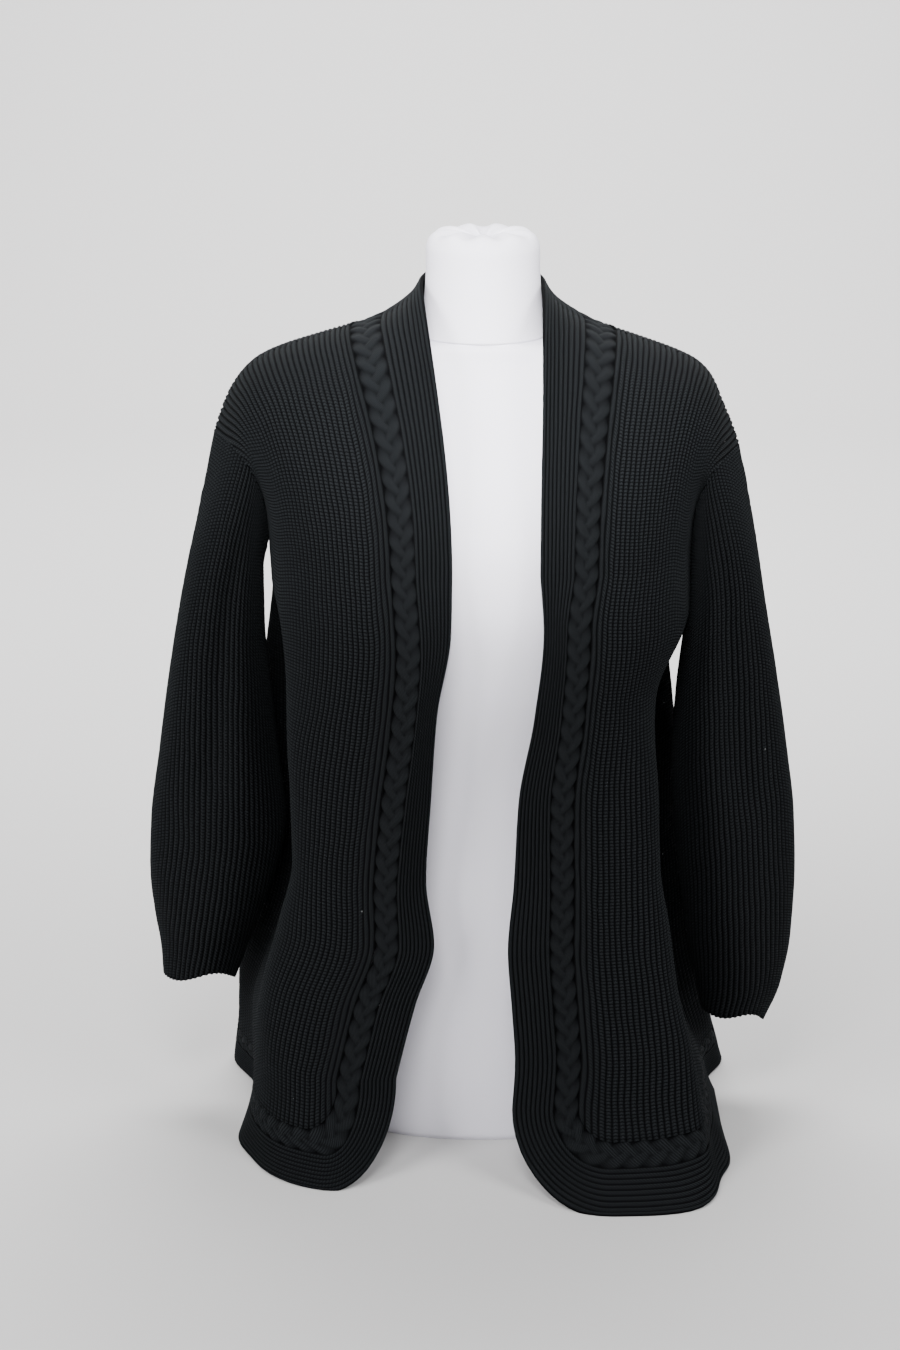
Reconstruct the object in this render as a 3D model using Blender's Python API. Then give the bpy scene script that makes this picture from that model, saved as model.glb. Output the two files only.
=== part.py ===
"""Open-front ribbed cardigan with plaited cable borders, worn by a limbless dress form.

Units are metres and +Z is up. The form stands on z = 0 and the front faces -Y, so the
wearer's right is -X. Every knitted piece is a wall. Its outer face carries the ribs or
the plait, and its inner face is plain. One modelled rib stands for two or three
knitted ones.
"""

import math

import bmesh
import bpy
import numpy as np

# Cloth thickness is taken at a rib's crest. The cloth surface worked out below is that
# crest, so everything else lies inside it.
CLOTH = 0.0040
RIB_RELIEF = 0.0015
SEAM_GAP = 0.0005

# How far down the sleeve its normal and its direction are taken for the armhole seam, and
# how far round the neck the back's normal is first taken.
SEAM_LEAN = 0.012
SEAM_LEAD = 0.020
NECK_START = 0.01

# A sleeve's first ring stands further off the armhole where the seam twists, by this
# share of the cloth's thickness for each unit of change in the seam's normal.
TWIST_ROOM = 1.2

# The strips along the front edge, and their gap to the front, which bends sharply over
# the folds. Then the plait on the cable strip: how long it is before it repeats, how far
# its strands swing and reach to each side as shares of half the strip's width, and how
# high a strand stands between its dips and its rises.
BORDER_WIDTH = 0.039
CABLE_WIDTH = 0.023
JOINT = BORDER_WIDTH + CABLE_WIDTH
JOINT_GAP = 0.0008
STRANDS = 3
STRAND_REPEAT = 0.057
STRAND_SWING = 0.62
STRAND_HALF_WIDTH = 0.52
STRAND_MIDDLE = 0.72
PLAIT_RELIEF = 0.0024

# Counts of grid cells. Two columns make one modelled rib.
FRONT_COLUMNS = 28
CORNER_CELLS = 8
NECK_COLUMNS = 10
BORDER_COLUMNS = 6
CABLE_COLUMNS = 4
YOKE_ROWS = 6
SLEEVE_CELLS_PER_ROW = 4
CABLE_CELL = 0.0115
ROW_SHARES = (0.0, 0.05, 0.11, 0.19, 0.29, 0.41, 0.55, 0.70, 0.85, 1.0)

# Lengths that the body tables share, and how square the back's plan is. The side seam
# runs straight down from the underarm at first, then drifts back round the section.
HEM_DROP = 0.600
BACK_SQUARENESS = 2.5
SEAM_DRIFT = 14.0
SEAM_DRIFT_DROP = 0.220

# The arches over the chest and back. Their depth falls as a power of the cosine. The
# armhole stands out by its own half depth, and is squarer, as a cut armhole is, by the
# powers of the cosine sideways and the sine upwards. The higher the fullness power, the
# less the chest's depth and the armhole's add up.
ARCH_POWER = 0.8
FULLNESS_POWER = 1.25
ARMHOLE_HALF_DEPTH = 0.058
ARMHOLE_SIDEWAYS = 0.9
ARMHOLE_UPWARDS = 0.65

# How much the front edge turns back to the form for each metre of border out of view.
TURN_BACK = 0.55

# Small steps that normals are measured over: metres on the cloth, the least of them at
# the armhole, shares of an arch, turns round a sleeve and metres down it.
STEP = 0.003
LEAST_STEP = 0.0001
TURN_STEP = 0.02
ANGLE_STEP = 0.05
DOWN_STEP = 0.004
SECTION_STEPS = 240

# The body hangs from the underarm down. drop is the distance down the cloth, edge is
# how far the front edge lies from the middle plane, all in metres. seen is the share of
# the border's width left in view where its edge turns back to the form.
BODY_COLUMNS = ("drop", "height", "half_width", "front", "back", "edge", "squareness", "seen")
BODY_RIGHT = (
    (0.000, 0.572, 0.200, 0.138, 0.118, 0.027, 2.5, 0.85),
    (0.052, 0.520, 0.197, 0.146, 0.121, 0.028, 2.6, 0.72),
    (0.132, 0.440, 0.192, 0.150, 0.122, 0.041, 2.7, 0.50),
    (0.212, 0.360, 0.186, 0.150, 0.122, 0.047, 2.8, 0.62),
    (0.292, 0.280, 0.184, 0.150, 0.124, 0.052, 2.9, 0.70),
    (0.352, 0.220, 0.198, 0.151, 0.127, 0.045, 3.0, 0.86),
    (0.412, 0.160, 0.214, 0.154, 0.131, 0.063, 3.2, 0.90),
    (0.463, 0.110, 0.222, 0.160, 0.136, 0.076, 3.4, 0.88),
    (0.516, 0.060, 0.224, 0.172, 0.143, 0.088, 3.6, 0.88),
    (0.560, 0.025, 0.229, 0.192, 0.150, 0.094, 3.8, 0.92),
    (0.600, 0.000, 0.233, 0.218, 0.157, 0.096, 4.0, 1.00),
)
BODY_LEFT = (
    (0.000, 0.572, 0.195, 0.138, 0.118, 0.051, 2.5, 0.80),
    (0.052, 0.520, 0.195, 0.146, 0.121, 0.054, 2.6, 0.55),
    (0.132, 0.440, 0.170, 0.150, 0.122, 0.046, 2.7, 0.64),
    (0.212, 0.360, 0.166, 0.151, 0.122, 0.032, 2.8, 0.76),
    (0.292, 0.280, 0.168, 0.152, 0.124, 0.028, 3.0, 0.88),
    (0.352, 0.220, 0.178, 0.153, 0.127, 0.023, 3.2, 1.00),
    (0.412, 0.160, 0.186, 0.157, 0.131, 0.027, 3.6, 1.00),
    (0.463, 0.110, 0.198, 0.164, 0.136, 0.030, 4.2, 1.00),
    (0.516, 0.060, 0.209, 0.178, 0.143, 0.027, 4.8, 1.00),
    (0.560, 0.025, 0.219, 0.207, 0.150, 0.027, 6.4, 1.00),
    (0.600, 0.000, 0.226, 0.256, 0.157, 0.027, 8.0, 1.00),
)

# Folds of the body: where round the section (0 centre front, 90 side, 180 centre back)
# and how far down each one runs, and how far it stands out or, if negative, in.
# Columns: angle, width, drop_from, drop_to, rise.
FOLDS_RIGHT = (
    (60, 16, 0.090, 0.520, 0.010),
    (88, 12, 0.050, 0.480, -0.014),
    (84, 9, 0.030, 0.260, -0.012),
    (109, 14, -0.020, 0.780, 0.040),
    (93, 9, 0.500, 0.900, -0.012),
    (78, 10, 0.540, 0.900, 0.012),
    (136, 12, 0.100, 0.800, -0.008),
    (160, 12, 0.060, 0.800, 0.009),
)
FOLDS_LEFT = (
    (58, 15, 0.110, 0.600, 0.016),
    (85, 12, 0.080, 0.560, -0.020),
    (109, 15, 0.030, 0.780, 0.034),
    (95, 7, 0.500, 0.900, -0.014),
    (86, 8, 0.530, 0.900, 0.014),
    (134, 11, 0.120, 0.800, -0.009),
    (157, 12, 0.080, 0.800, 0.010),
)

# The shoulder line from the border's neck edge to the top of the armhole: distance
# from the middle plane and height.
SHOULDER_COLUMNS = ("out", "height")
SHOULDER_RIGHT = (
    (0.058, 0.818), (0.066, 0.804), (0.076, 0.795), (0.094, 0.785), (0.122, 0.777),
    (0.149, 0.769), (0.186, 0.757), (0.208, 0.747), (0.222, 0.735), (0.234, 0.718),
    (0.243, 0.698), (0.250, 0.678),
)
SHOULDER_LEFT = (
    (0.057, 0.816), (0.065, 0.802), (0.075, 0.792), (0.094, 0.782), (0.122, 0.773),
    (0.149, 0.764), (0.181, 0.752), (0.200, 0.742), (0.212, 0.729), (0.222, 0.707),
    (0.232, 0.684), (0.239, 0.665),
)
JOINT_OUT = 0.122
CABLE_OUT = 0.094

# The round front corner of each hem: its radius along the hem and up the edge.
CORNER_RIGHT = (0.075, 0.115)
CORNER_LEFT = (0.092, 0.092)
LEAST_CORNER = 0.034

# At the centre back of the neck, the strips' neck edge and outer edge lie this far
# behind the axis and this high.
NECK_DEPTHS = (0.068, 0.100)
NECK_HEIGHTS = (0.828, 0.767)

# Each sleeve hangs from its armhole: heights and distances from the middle plane of
# its inner and outer edges, and its depth from front to back.
SLEEVE_COLUMNS = ("inner_height", "outer_height", "inner", "outer", "half_depth", "middle")
SLEEVE_RIGHT = (
    (0.572, 0.678, 0.200, 0.250, 0.058, 0.000),
    (0.538, 0.606, 0.207, 0.266, 0.064, -0.002),
    (0.492, 0.526, 0.207, 0.284, 0.068, -0.004),
    (0.430, 0.445, 0.202, 0.299, 0.066, -0.006),
    (0.362, 0.368, 0.196, 0.311, 0.060, -0.008),
    (0.298, 0.300, 0.190, 0.321, 0.055, -0.010),
    (0.240, 0.242, 0.202, 0.324, 0.051, -0.010),
    (0.196, 0.198, 0.219, 0.321, 0.046, -0.008),
    (0.164, 0.165, 0.233, 0.317, 0.040, -0.006),
    (0.138, 0.137, 0.244, 0.316, 0.038, -0.006),
)
SLEEVE_LEFT = (
    (0.572, 0.665, 0.195, 0.239, 0.058, 0.000),
    (0.535, 0.592, 0.195, 0.254, 0.064, -0.002),
    (0.482, 0.520, 0.190, 0.266, 0.067, -0.004),
    (0.425, 0.448, 0.184, 0.279, 0.066, -0.006),
    (0.362, 0.374, 0.181, 0.291, 0.062, -0.008),
    (0.300, 0.306, 0.184, 0.300, 0.058, -0.010),
    (0.235, 0.238, 0.191, 0.303, 0.054, -0.010),
    (0.176, 0.178, 0.199, 0.302, 0.048, -0.008),
    (0.128, 0.128, 0.210, 0.294, 0.041, -0.006),
    (0.099, 0.092, 0.216, 0.279, 0.038, -0.006),
)

# Long folds of the sleeves: 0 is the inner edge, 90 the front, 180 the outer edge.
# Columns: angle, drift, width, down_from, down_to, rise.
SLEEVE_FOLDS_RIGHT = (
    (72, 26, 20, 0.010, 0.330, -0.010),
    (128, 8, 22, 0.060, 0.460, 0.004),
    (250, -20, 20, 0.020, 0.400, -0.008),
)
SLEEVE_FOLDS_LEFT = (
    (84, 22, 20, 0.010, 0.330, -0.011),
    (136, 8, 22, 0.060, 0.480, 0.004),
    (262, -18, 20, 0.020, 0.420, -0.008),
)

# The sleeve takes on its own shape over this length. From this share of its length on
# the cuff waves up and down, and its inner and outer edges hang lower by the pinch. The
# rings crowd together towards the armhole.
SLEEVE_LEAD = 0.090
CUFF_WAVE = 0.004
CUFF_WAVES = 3
CUFF_PINCH = 0.007
CUFF_SHARE = 0.85
SLEEVE_RINGS = 12
RING_CROWDING = 1.15

# The dress form: half width, and depth before and behind the axis, at each height.
# Columns: height, half_width, front, back.
FORM_TORSO = (
    (0.0000, 0.158, 0.106, 0.098),
    (0.0060, 0.161, 0.109, 0.101),
    (0.0700, 0.165, 0.112, 0.108),
    (0.1500, 0.164, 0.112, 0.109),
    (0.2300, 0.154, 0.107, 0.101),
    (0.3100, 0.136, 0.099, 0.090),
    (0.3900, 0.124, 0.094, 0.084),
    (0.4600, 0.132, 0.098, 0.088),
    (0.5300, 0.146, 0.109, 0.095),
    (0.5800, 0.155, 0.112, 0.101),
    (0.6300, 0.166, 0.105, 0.103),
    (0.6800, 0.180, 0.090, 0.097),
    (0.7150, 0.187, 0.077, 0.083),
    (0.7350, 0.186, 0.068, 0.071),
    (0.7460, 0.178, 0.063, 0.063),
    (0.7550, 0.149, 0.060, 0.060),
    (0.7620, 0.120, 0.059, 0.059),
    (0.7665, 0.090, 0.058, 0.058),
    (0.7690, 0.061, 0.058, 0.058),
)
FORM_SQUARENESS = 2.2
FORM_POINTS = 28

# The neck's jersey cover, up to its gathered crown. Columns: height, radius, gather.
FORM_NECK = (
    (0.7693, 0.0600, 0.0),
    (0.7840, 0.0568, 0.0),
    (0.8060, 0.0535, 0.0),
    (0.8300, 0.0520, 0.0),
    (0.8460, 0.0520, 0.0),
    (0.8560, 0.0495, 0.0006),
    (0.8615, 0.0430, 0.0014),
    (0.8625, 0.0330, 0.0020),
    (0.8600, 0.0200, 0.0024),
    (0.8560, 0.0080, 0.0014),
)
NECK_GATHERS = 9
NECK_POINTS = 36

BLACK_KNIT = {"name": "black_knit", "colour": (0.012, 0.013, 0.015, 1.0), "roughness": 0.95}
WHITE_JERSEY = {"name": "white_jersey", "colour": (0.86, 0.86, 0.90, 1.0), "roughness": 0.85}


def smooth(xs, ys, x):
    """The height at x of a curve through the points (xs, ys) that never overshoots them."""
    xs, ys = np.asarray(xs, float), np.asarray(ys, float)
    x = min(max(x, xs[0]), xs[-1])
    slopes = np.diff(ys) / np.diff(xs)
    tangents = np.zeros(len(xs))
    tangents[0], tangents[-1] = slopes[0], slopes[-1]
    for k in range(1, len(xs) - 1):
        if slopes[k - 1] * slopes[k] > 0:
            tangents[k] = 2 * slopes[k - 1] * slopes[k] / (slopes[k - 1] + slopes[k])
    k = min(int(np.searchsorted(xs, x, side="right")) - 1, len(xs) - 2)
    span = xs[k + 1] - xs[k]
    t = (x - xs[k]) / span
    return (
        (1 + 2 * t) * (1 - t) ** 2 * ys[k]
        + t * (1 - t) ** 2 * span * tangents[k]
        + t * t * (3 - 2 * t) * ys[k + 1]
        + t * t * (t - 1) * span * tangents[k + 1]
    )


def columns(table, names):
    """A table's columns by name, each as an array."""
    return {name: np.array([row[k] for row in table], float) for k, name in enumerate(names)}


def unit(vector):
    """The vector at length one."""
    return vector / max(float(np.linalg.norm(vector)), 1e-12)


def eased(share):
    """The share held between 0 and 1, leaving and arriving gently."""
    held = min(max(share, 0.0), 1.0)
    return held * held * (3 - 2 * held)


def window(x, start, end):
    """0 outside start to end, rising smoothly to 1 over the middle half of the way."""
    share = (x - start) / (end - start)
    return eased(4 * min(share, 1 - share))


class Half:
    """One half of the garment's cloth surface, as functions of places on the cloth."""

    def __init__(self, side, body, folds, shoulder, corner, sleeve, sleeve_folds):
        self.side = side
        self.body = columns(body, BODY_COLUMNS)
        self.folds = folds
        self.corner = corner
        self.sleeve = columns(sleeve, SLEEVE_COLUMNS)
        self.sleeve_folds = sleeve_folds
        line = columns(shoulder, SHOULDER_COLUMNS)
        self.shoulder_out, self.shoulder_height = line["out"], line["height"]
        steps = np.hypot(np.diff(line["out"]), np.diff(line["height"]))
        self.shoulder_arc = np.concatenate([[0.0], np.cumsum(steps)])
        self.cable_arc = float(np.interp(CABLE_OUT, line["out"], self.shoulder_arc))
        self.joint_arc = float(np.interp(JOINT_OUT, line["out"], self.shoulder_arc))
        self.shoulder_length = float(self.shoulder_arc[-1])
        across = self.sleeve["inner_height"] + self.sleeve["outer_height"]
        self.sleeve_down = (across[0] - across) / 2
        self.sections = {}

    def size(self, name, drop):
        """A column of the body table at this drop."""
        return smooth(self.body["drop"], self.body[name], drop)

    def section(self, drop):
        """The body's plan at this drop: its arc length from the centre front, and points."""
        key = round(drop, 6)
        if key in self.sections:
            return self.sections[key]
        wide, front, back = (self.size(n, drop) for n in ("half_width", "front", "back"))
        square = self.size("squareness", drop)
        angle = np.linspace(0.0, math.pi, SECTION_STEPS + 1)
        power = np.where(angle <= math.pi / 2, 2 / square, 2 / BACK_SQUARENESS)
        depth = np.where(angle <= math.pi / 2, front, back)
        x = wide * np.abs(np.sin(angle)) ** power
        y = -depth * np.sign(np.cos(angle)) * np.abs(np.cos(angle)) ** power
        outward = np.stack([x / wide**2, y / depth**2], axis=1)
        outward /= np.linalg.norm(outward, axis=1)[:, None]
        rise = np.zeros(len(angle))
        for turn, spread, start, end, height in self.folds:
            shape = np.exp(-(((np.degrees(angle) - turn) / spread) ** 2))
            rise += height * window(drop, start, end) * shape
        x, y = x + rise * outward[:, 0], y + rise * outward[:, 1]
        x[0] = x[-1] = 0.0
        arc = np.concatenate([[0.0], np.cumsum(np.hypot(np.diff(x), np.diff(y)))])
        seam_angle = math.pi / 2 + math.radians(SEAM_DRIFT) * eased(drop / SEAM_DRIFT_DROP)
        self.sections[key] = arc, np.stack([x, y], axis=1), float(np.interp(seam_angle, angle, arc))
        return self.sections[key]

    def side_seam(self, drop):
        """How far round the section the side seam lies."""
        return self.section(drop)[2]

    def half_girth(self, drop):
        """How far round the section the centre back lies."""
        return float(self.section(drop)[0][-1])

    def edge(self, drop):
        """How far round the section the front edge lies."""
        return self.size("edge", drop)

    def inward(self, offset, drop):
        """How far round the section a line lies that runs this far in from the front edge."""
        hidden = (1 - self.size("seen", drop)) * min(offset, BORDER_WIDTH)
        return self.edge(drop) + offset - hidden

    def hang(self, along, drop):
        """The cloth below the underarm, at an arc length from the centre front."""
        arc, plan, _ = self.section(drop)
        x = np.interp(along, arc, plan[:, 0])
        y = np.interp(along, arc, plan[:, 1])
        seen = min(self.size("seen", drop), 1.0)
        beside = max(self.inward(BORDER_WIDTH, drop) - along, 0.0)
        y += TURN_BACK * math.sqrt(1 - seen * seen) / seen * beside
        return np.array([self.side * x, y, self.size("height", drop)])

    def shoulder(self, arc):
        """Distance out and height of the shoulder line, this far from the neck edge."""
        out = smooth(self.shoulder_arc, self.shoulder_out, arc)
        return out, smooth(self.shoulder_arc, self.shoulder_height, arc)

    def arch(self, along, arc, turn, way):
        """The cloth above the underarm row, in front (way -1) or behind (way 1).

        The arch rises from the underarm row to its top point on the shoulder line.
        Towards the armhole it stands forward or back, as round an arm.
        """
        foot = self.hang(along, 0.0)
        out, height = self.shoulder(arc)
        arm = eased((arc - self.joint_arc) / (self.shoulder_length - self.joint_arc))
        cosine = math.cos(turn * math.pi / 2) if turn < 1 else 0.0
        sideways = cosine ** (2 + (ARMHOLE_SIDEWAYS - 2) * arm)
        upwards = math.sin(turn * math.pi / 2) ** (1 + (ARMHOLE_UPWARDS - 1) * arm)
        reach = abs(foot[1]) * cosine**ARCH_POWER
        bulge = ARMHOLE_HALF_DEPTH * arm * max(math.sin(math.pi * turn), 0.0) ** ARCH_POWER
        fullness = (reach**FULLNESS_POWER + bulge**FULLNESS_POWER) ** (1 / FULLNESS_POWER)
        return np.array([
            self.side * out + (foot[0] - self.side * out) * sideways,
            way * fullness,
            foot[2] + (height - foot[2]) * upwards,
        ])

    def front_arch(self, along, arc, turn):
        """The front above the underarm row, up to the shoulder seam."""
        return self.arch(along, arc, turn, -1)

    def back_arch(self, along, arc, turn):
        """The back above the underarm row, up to the shoulder seam."""
        return self.arch(along, arc, turn, 1)

    def collar(self, arc, turn):
        """The strips behind the neck, a share of a quarter turn from side to centre back."""
        out, height = self.shoulder(arc)
        share = arc / self.joint_arc
        depth = NECK_DEPTHS[0] + (NECK_DEPTHS[1] - NECK_DEPTHS[0]) * share
        target = NECK_HEIGHTS[0] + (NECK_HEIGHTS[1] - NECK_HEIGHTS[0]) * share
        angle = turn * math.pi / 2
        height += (target - height) * math.sin(angle)
        x = max(out * math.cos(angle), SEAM_GAP / 2)
        return np.array([self.side * x, depth * math.sin(angle), height])

    def neckline_arch(self, along, neck_turn, turn):
        """The back above the underarm row, up to the neckline under the cable strip."""
        top = self.collar(self.joint_arc + SEAM_GAP * (1 + 2 * neck_turn), neck_turn)
        foot = self.hang(along, 0.0)
        angle = turn * math.pi / 2
        bend = math.cos(angle) ** ARCH_POWER if turn < 1 else 0.0
        return np.array([
            top[0] + (foot[0] - top[0]) * math.cos(angle) ** 2,
            top[1] + (foot[1] - top[1]) * bend,
            foot[2] + (top[2] - foot[2]) * math.sin(angle),
        ])

    def armhole(self, angle):
        """The armhole seam: 0 underarm, a half turn at the top, through the front first."""
        if angle <= math.pi:
            return self.front_arch(self.side_seam(0.0), self.shoulder_length, angle / math.pi)
        return self.back_arch(self.side_seam(0.0), self.shoulder_length, 2 - angle / math.pi)

    def ring(self, angle, down):
        """A plain oval ring of the sleeve, this far down it."""
        row = {n: smooth(self.sleeve_down, c, down) for n, c in self.sleeve.items()}
        share = (1 - math.cos(angle)) / 2
        x = row["inner"] + (row["outer"] - row["inner"]) * share
        z = row["inner_height"] + (row["outer_height"] - row["inner_height"]) * share
        return np.array([self.side * x, row["middle"] - row["half_depth"] * math.sin(angle), z])

    def arm(self, angle, down):
        """The sleeve's cloth: its rings, led smoothly out of the armhole, with its folds."""
        angle = angle % (2 * math.pi)
        point = self.ring(angle, down)
        lead = eased(1 - down / SLEEVE_LEAD)
        point += (self.armhole(angle) - self.ring(angle, 0.0)) * lead
        middle = (self.ring(0.0, down) + self.ring(math.pi, down)) / 2
        rise = 0.0
        for turn, drift, spread, start, end, height in self.sleeve_folds:
            centre = turn + drift * (down - start) / (end - start)
            shape = math.exp(-(((math.degrees(angle) - centre) / spread) ** 2))
            rise += height * window(down, start, end) * shape
        point += unit(point - middle) * rise
        low = max(down / self.sleeve_down[-1] - CUFF_SHARE, 0.0) / (1 - CUFF_SHARE)
        wave = CUFF_WAVE * math.sin(CUFF_WAVES * angle + self.side)
        point[2] += low * (wave - CUFF_PINCH * math.cos(2 * angle))
        return point


def normal_of(surface, a, b, step_a, step_b, inside):
    """The unit normal of surface(a, b), on the side away from the point called inside."""
    across = surface(a + step_a, b) - surface(a - step_a, b)
    along = surface(a, b + step_b) - surface(a, b - step_b)
    normal = unit(np.cross(across, along))
    return normal if normal @ (surface(a, b) - inside) > 0 else -normal


def hang_cloth(half, along, drop):
    """Point and normal of the cloth below the underarm."""
    along = min(max(along, 0.0), half.half_girth(drop))
    point = half.hang(along, drop)
    return point, normal_of(half.hang, along, drop, STEP, STEP, np.array([0, 0, point[2]]))


def arch_cloth(half, surface, along, arc, turn, way=1):
    """Point and normal of an arch of the yoke, in front (way 1) or behind (way -1)."""
    room = max(half.shoulder_length - arc, 0.0) + LEAST_STEP
    ahead = min(STEP, room) if way > 0 else STEP
    behind = STEP if way > 0 else min(STEP, room)
    low, high = max(turn - TURN_STEP, 0.0), min(turn + TURN_STEP, 1.0)
    far = surface(along + ahead, arc + way * ahead, turn)
    near = surface(along - behind, arc - way * behind, turn)
    up = surface(along, arc, high) - surface(along, arc, low)
    return surface(along, arc, turn), unit(np.cross(far - near, up)) * half.side


def collar_cloth(half, arc, turn):
    """Point and normal of the strips behind the neck."""
    point = half.collar(arc, turn)
    across = half.collar(arc + STEP, turn) - half.collar(max(arc - STEP, 0.0), turn)
    round_neck = np.array([
        -half.side * math.sin(turn * math.pi / 2),
        math.cos(turn * math.pi / 2),
        0.0,
    ])
    normal = unit(np.cross(across, round_neck))
    inside = np.array([0.0, 0.0, NECK_HEIGHTS[1] - CABLE_WIDTH])
    return point, normal if normal @ (point - inside) > 0 else -normal


def outline(half, offset, share):
    """A line parallel to the front's edge, as (distance round, drop).

    share runs 0 to 1 along the hem from the side seam, then 1 to 2 round the corner.
    """
    corner_along = max(half.corner[0] - offset, LEAST_CORNER)
    corner_drop = max(half.corner[1] - offset, LEAST_CORNER)
    bottom = HEM_DROP - offset
    start = half.inward(offset, bottom - corner_drop)
    if share <= 1:
        seam = half.side_seam(bottom) - SEAM_GAP / 2
        return seam + (start + corner_along - seam) * share, bottom
    turn = min(share - 1, 1.0)
    angle = (turn * math.pi / 2 + math.asin(turn)) / 2
    along = start + corner_along * (1 - math.sin(angle))
    return along, bottom - corner_drop * (1 - math.cos(angle))


def strip_places(half, offset):
    """Where a line parallel to the front's edge runs, from the side seam to the back neck.

    Each entry is (kind, first number, second number), in the terms of strip_cloth.
    """
    hem_cells = FRONT_COLUMNS - CORNER_CELLS
    places = [("hem", k / hem_cells) for k in range(hem_cells + 1)]
    places += [("hem", 1 + k / CORNER_CELLS) for k in range(1, CORNER_CELLS + 1)]
    places += [("edge", share) for share in ROW_SHARES[1:]]
    places += [("arch", k / YOKE_ROWS) for k in range(1, YOKE_ROWS + 1)]
    places += [("collar", k / NECK_COLUMNS) for k in range(1, NECK_COLUMNS + 1)]
    return [(kind, place, offset) for kind, place in places]


def strip_cloth(half, kind, place, offset):
    """Point and normal of the border and cable strips, offset in from their edge."""
    if kind == "hem":
        return hang_cloth(half, *outline(half, offset, place))
    if kind == "edge":
        joint_top = outline(half, JOINT, 2.0)[1]
        own_top = outline(half, offset, 2.0)[1]
        lead = (1 - place) ** 2
        drop = (joint_top + (own_top - joint_top) * lead) * (1 - place)
        return hang_cloth(half, half.inward(offset, drop), drop)
    if offset <= BORDER_WIDTH:
        arc = offset / BORDER_WIDTH * half.cable_arc
    else:
        share = (offset - BORDER_WIDTH) / CABLE_WIDTH
        arc = half.cable_arc + share * (half.joint_arc - half.cable_arc)
    if kind == "arch":
        return arch_cloth(half, half.front_arch, half.inward(offset, 0.0), arc, place)
    if offset == JOINT:
        return collar_cloth(half, arc, place)[0], neckline_normal(half, place)
    return collar_cloth(half, arc, place)


def rib(column):
    """How far a rib's valley lies under its crest, at this column of the grid."""
    return RIB_RELIEF * (column % 2)


def plait(across, along):
    """How far the plait's face lies under its highest point. across is -1 to 1."""
    top = 0.0
    for strand in range(STRANDS):
        phase = 2 * math.pi * (along / STRAND_REPEAT + strand / STRANDS)
        away = abs(across - STRAND_SWING * math.sin(phase)) / STRAND_HALF_WIDTH
        if away < 1:
            crown = STRAND_MIDDLE + (1 - STRAND_MIDDLE) * math.sin(2 * phase)
            top = max(top, crown * math.sqrt(1 - away * away))
    return PLAIT_RELIEF * (1 - top)


def wall(name, outer, inner, closed=False, top=None):
    """A closed wall between an outer and an inner grid, whose columns may be fewer.

    top, if given, is the inner grid's last row with a point for every outer column.
    """
    outer, inner = np.asarray(outer), np.asarray(inner)
    rows, wide = outer.shape[:2]
    narrow = inner.shape[1]
    mesh = bmesh.new()
    out = [[mesh.verts.new(p) for p in row] for row in outer]
    back = [[mesh.verts.new(p) for p in row] for row in inner]
    cells = narrow if closed else narrow - 1
    ratio = wide // narrow if closed else (wide - 1) // cells
    between = {} if top is None else {i: mesh.verts.new(top[i * ratio + 1]) for i in range(cells)}
    for grid, count in ((out, wide), (back, narrow)):
        for j in range(rows - 1):
            for i in range(count if closed else count - 1):
                k = (i + 1) % count
                cell = [grid[j][i], grid[j][k], grid[j + 1][k], grid[j + 1][i]]
                if grid is back and j == rows - 2 and i in between:
                    cell.insert(3, between[i])
                mesh.faces.new(cell)
    for j in (0, rows - 1):
        for i in range(cells):
            rim = [out[j][(i * ratio + k) % wide] for k in range(ratio + 1)]
            ends = [back[j][(i + 1) % narrow], back[j][i]]
            if j and i in between:
                mesh.faces.new((rim[0], rim[1], between[i], ends[1]))
                mesh.faces.new((rim[1], rim[2], ends[0], between[i]))
            else:
                mesh.faces.new(rim + ends)
    if not closed:
        for i, m in ((0, 0), (wide - 1, narrow - 1)):
            for j in range(rows - 1):
                mesh.faces.new((out[j][i], out[j + 1][i], back[j + 1][m], back[j][m]))
    return finish(name, mesh)


def finish(name, mesh):
    """Turns a bmesh into a named object in the model's collection, faces outward."""
    bmesh.ops.recalc_face_normals(mesh, faces=mesh.faces)
    if mesh.calc_volume(signed=True) < 0:
        bmesh.ops.reverse_faces(mesh, faces=mesh.faces)
    bmesh.ops.triangulate(mesh, faces=mesh.faces)
    data = bpy.data.meshes.new(name)
    mesh.to_mesh(data)
    mesh.free()
    made = bpy.data.objects.new(name, data)
    COLLECTION.objects.link(made)
    return made


def faces_of(cloth, reliefs, plain_step):
    """Outer and inner points of a grid of (point, normal) pairs.

    reliefs says how far each outer point lies under the surface. Cloth that lies over
    the floor is lifted, so that its inner face rests on the floor.
    """
    outer, inner = [], []
    for row, row_reliefs in zip(cloth, reliefs):
        lifts = [max(CLOTH * n[2] - p[2], 0.0) for p, n in row]
        raised = [p + np.array([0, 0, up]) for (p, _), up in zip(row, lifts)]
        outer.append([p - n * deep for p, (_, n), deep in zip(raised, row, row_reliefs)])
        inner.append([p - n * CLOTH for p, (_, n) in zip(raised, row)][::plain_step])
    return outer, inner


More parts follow.
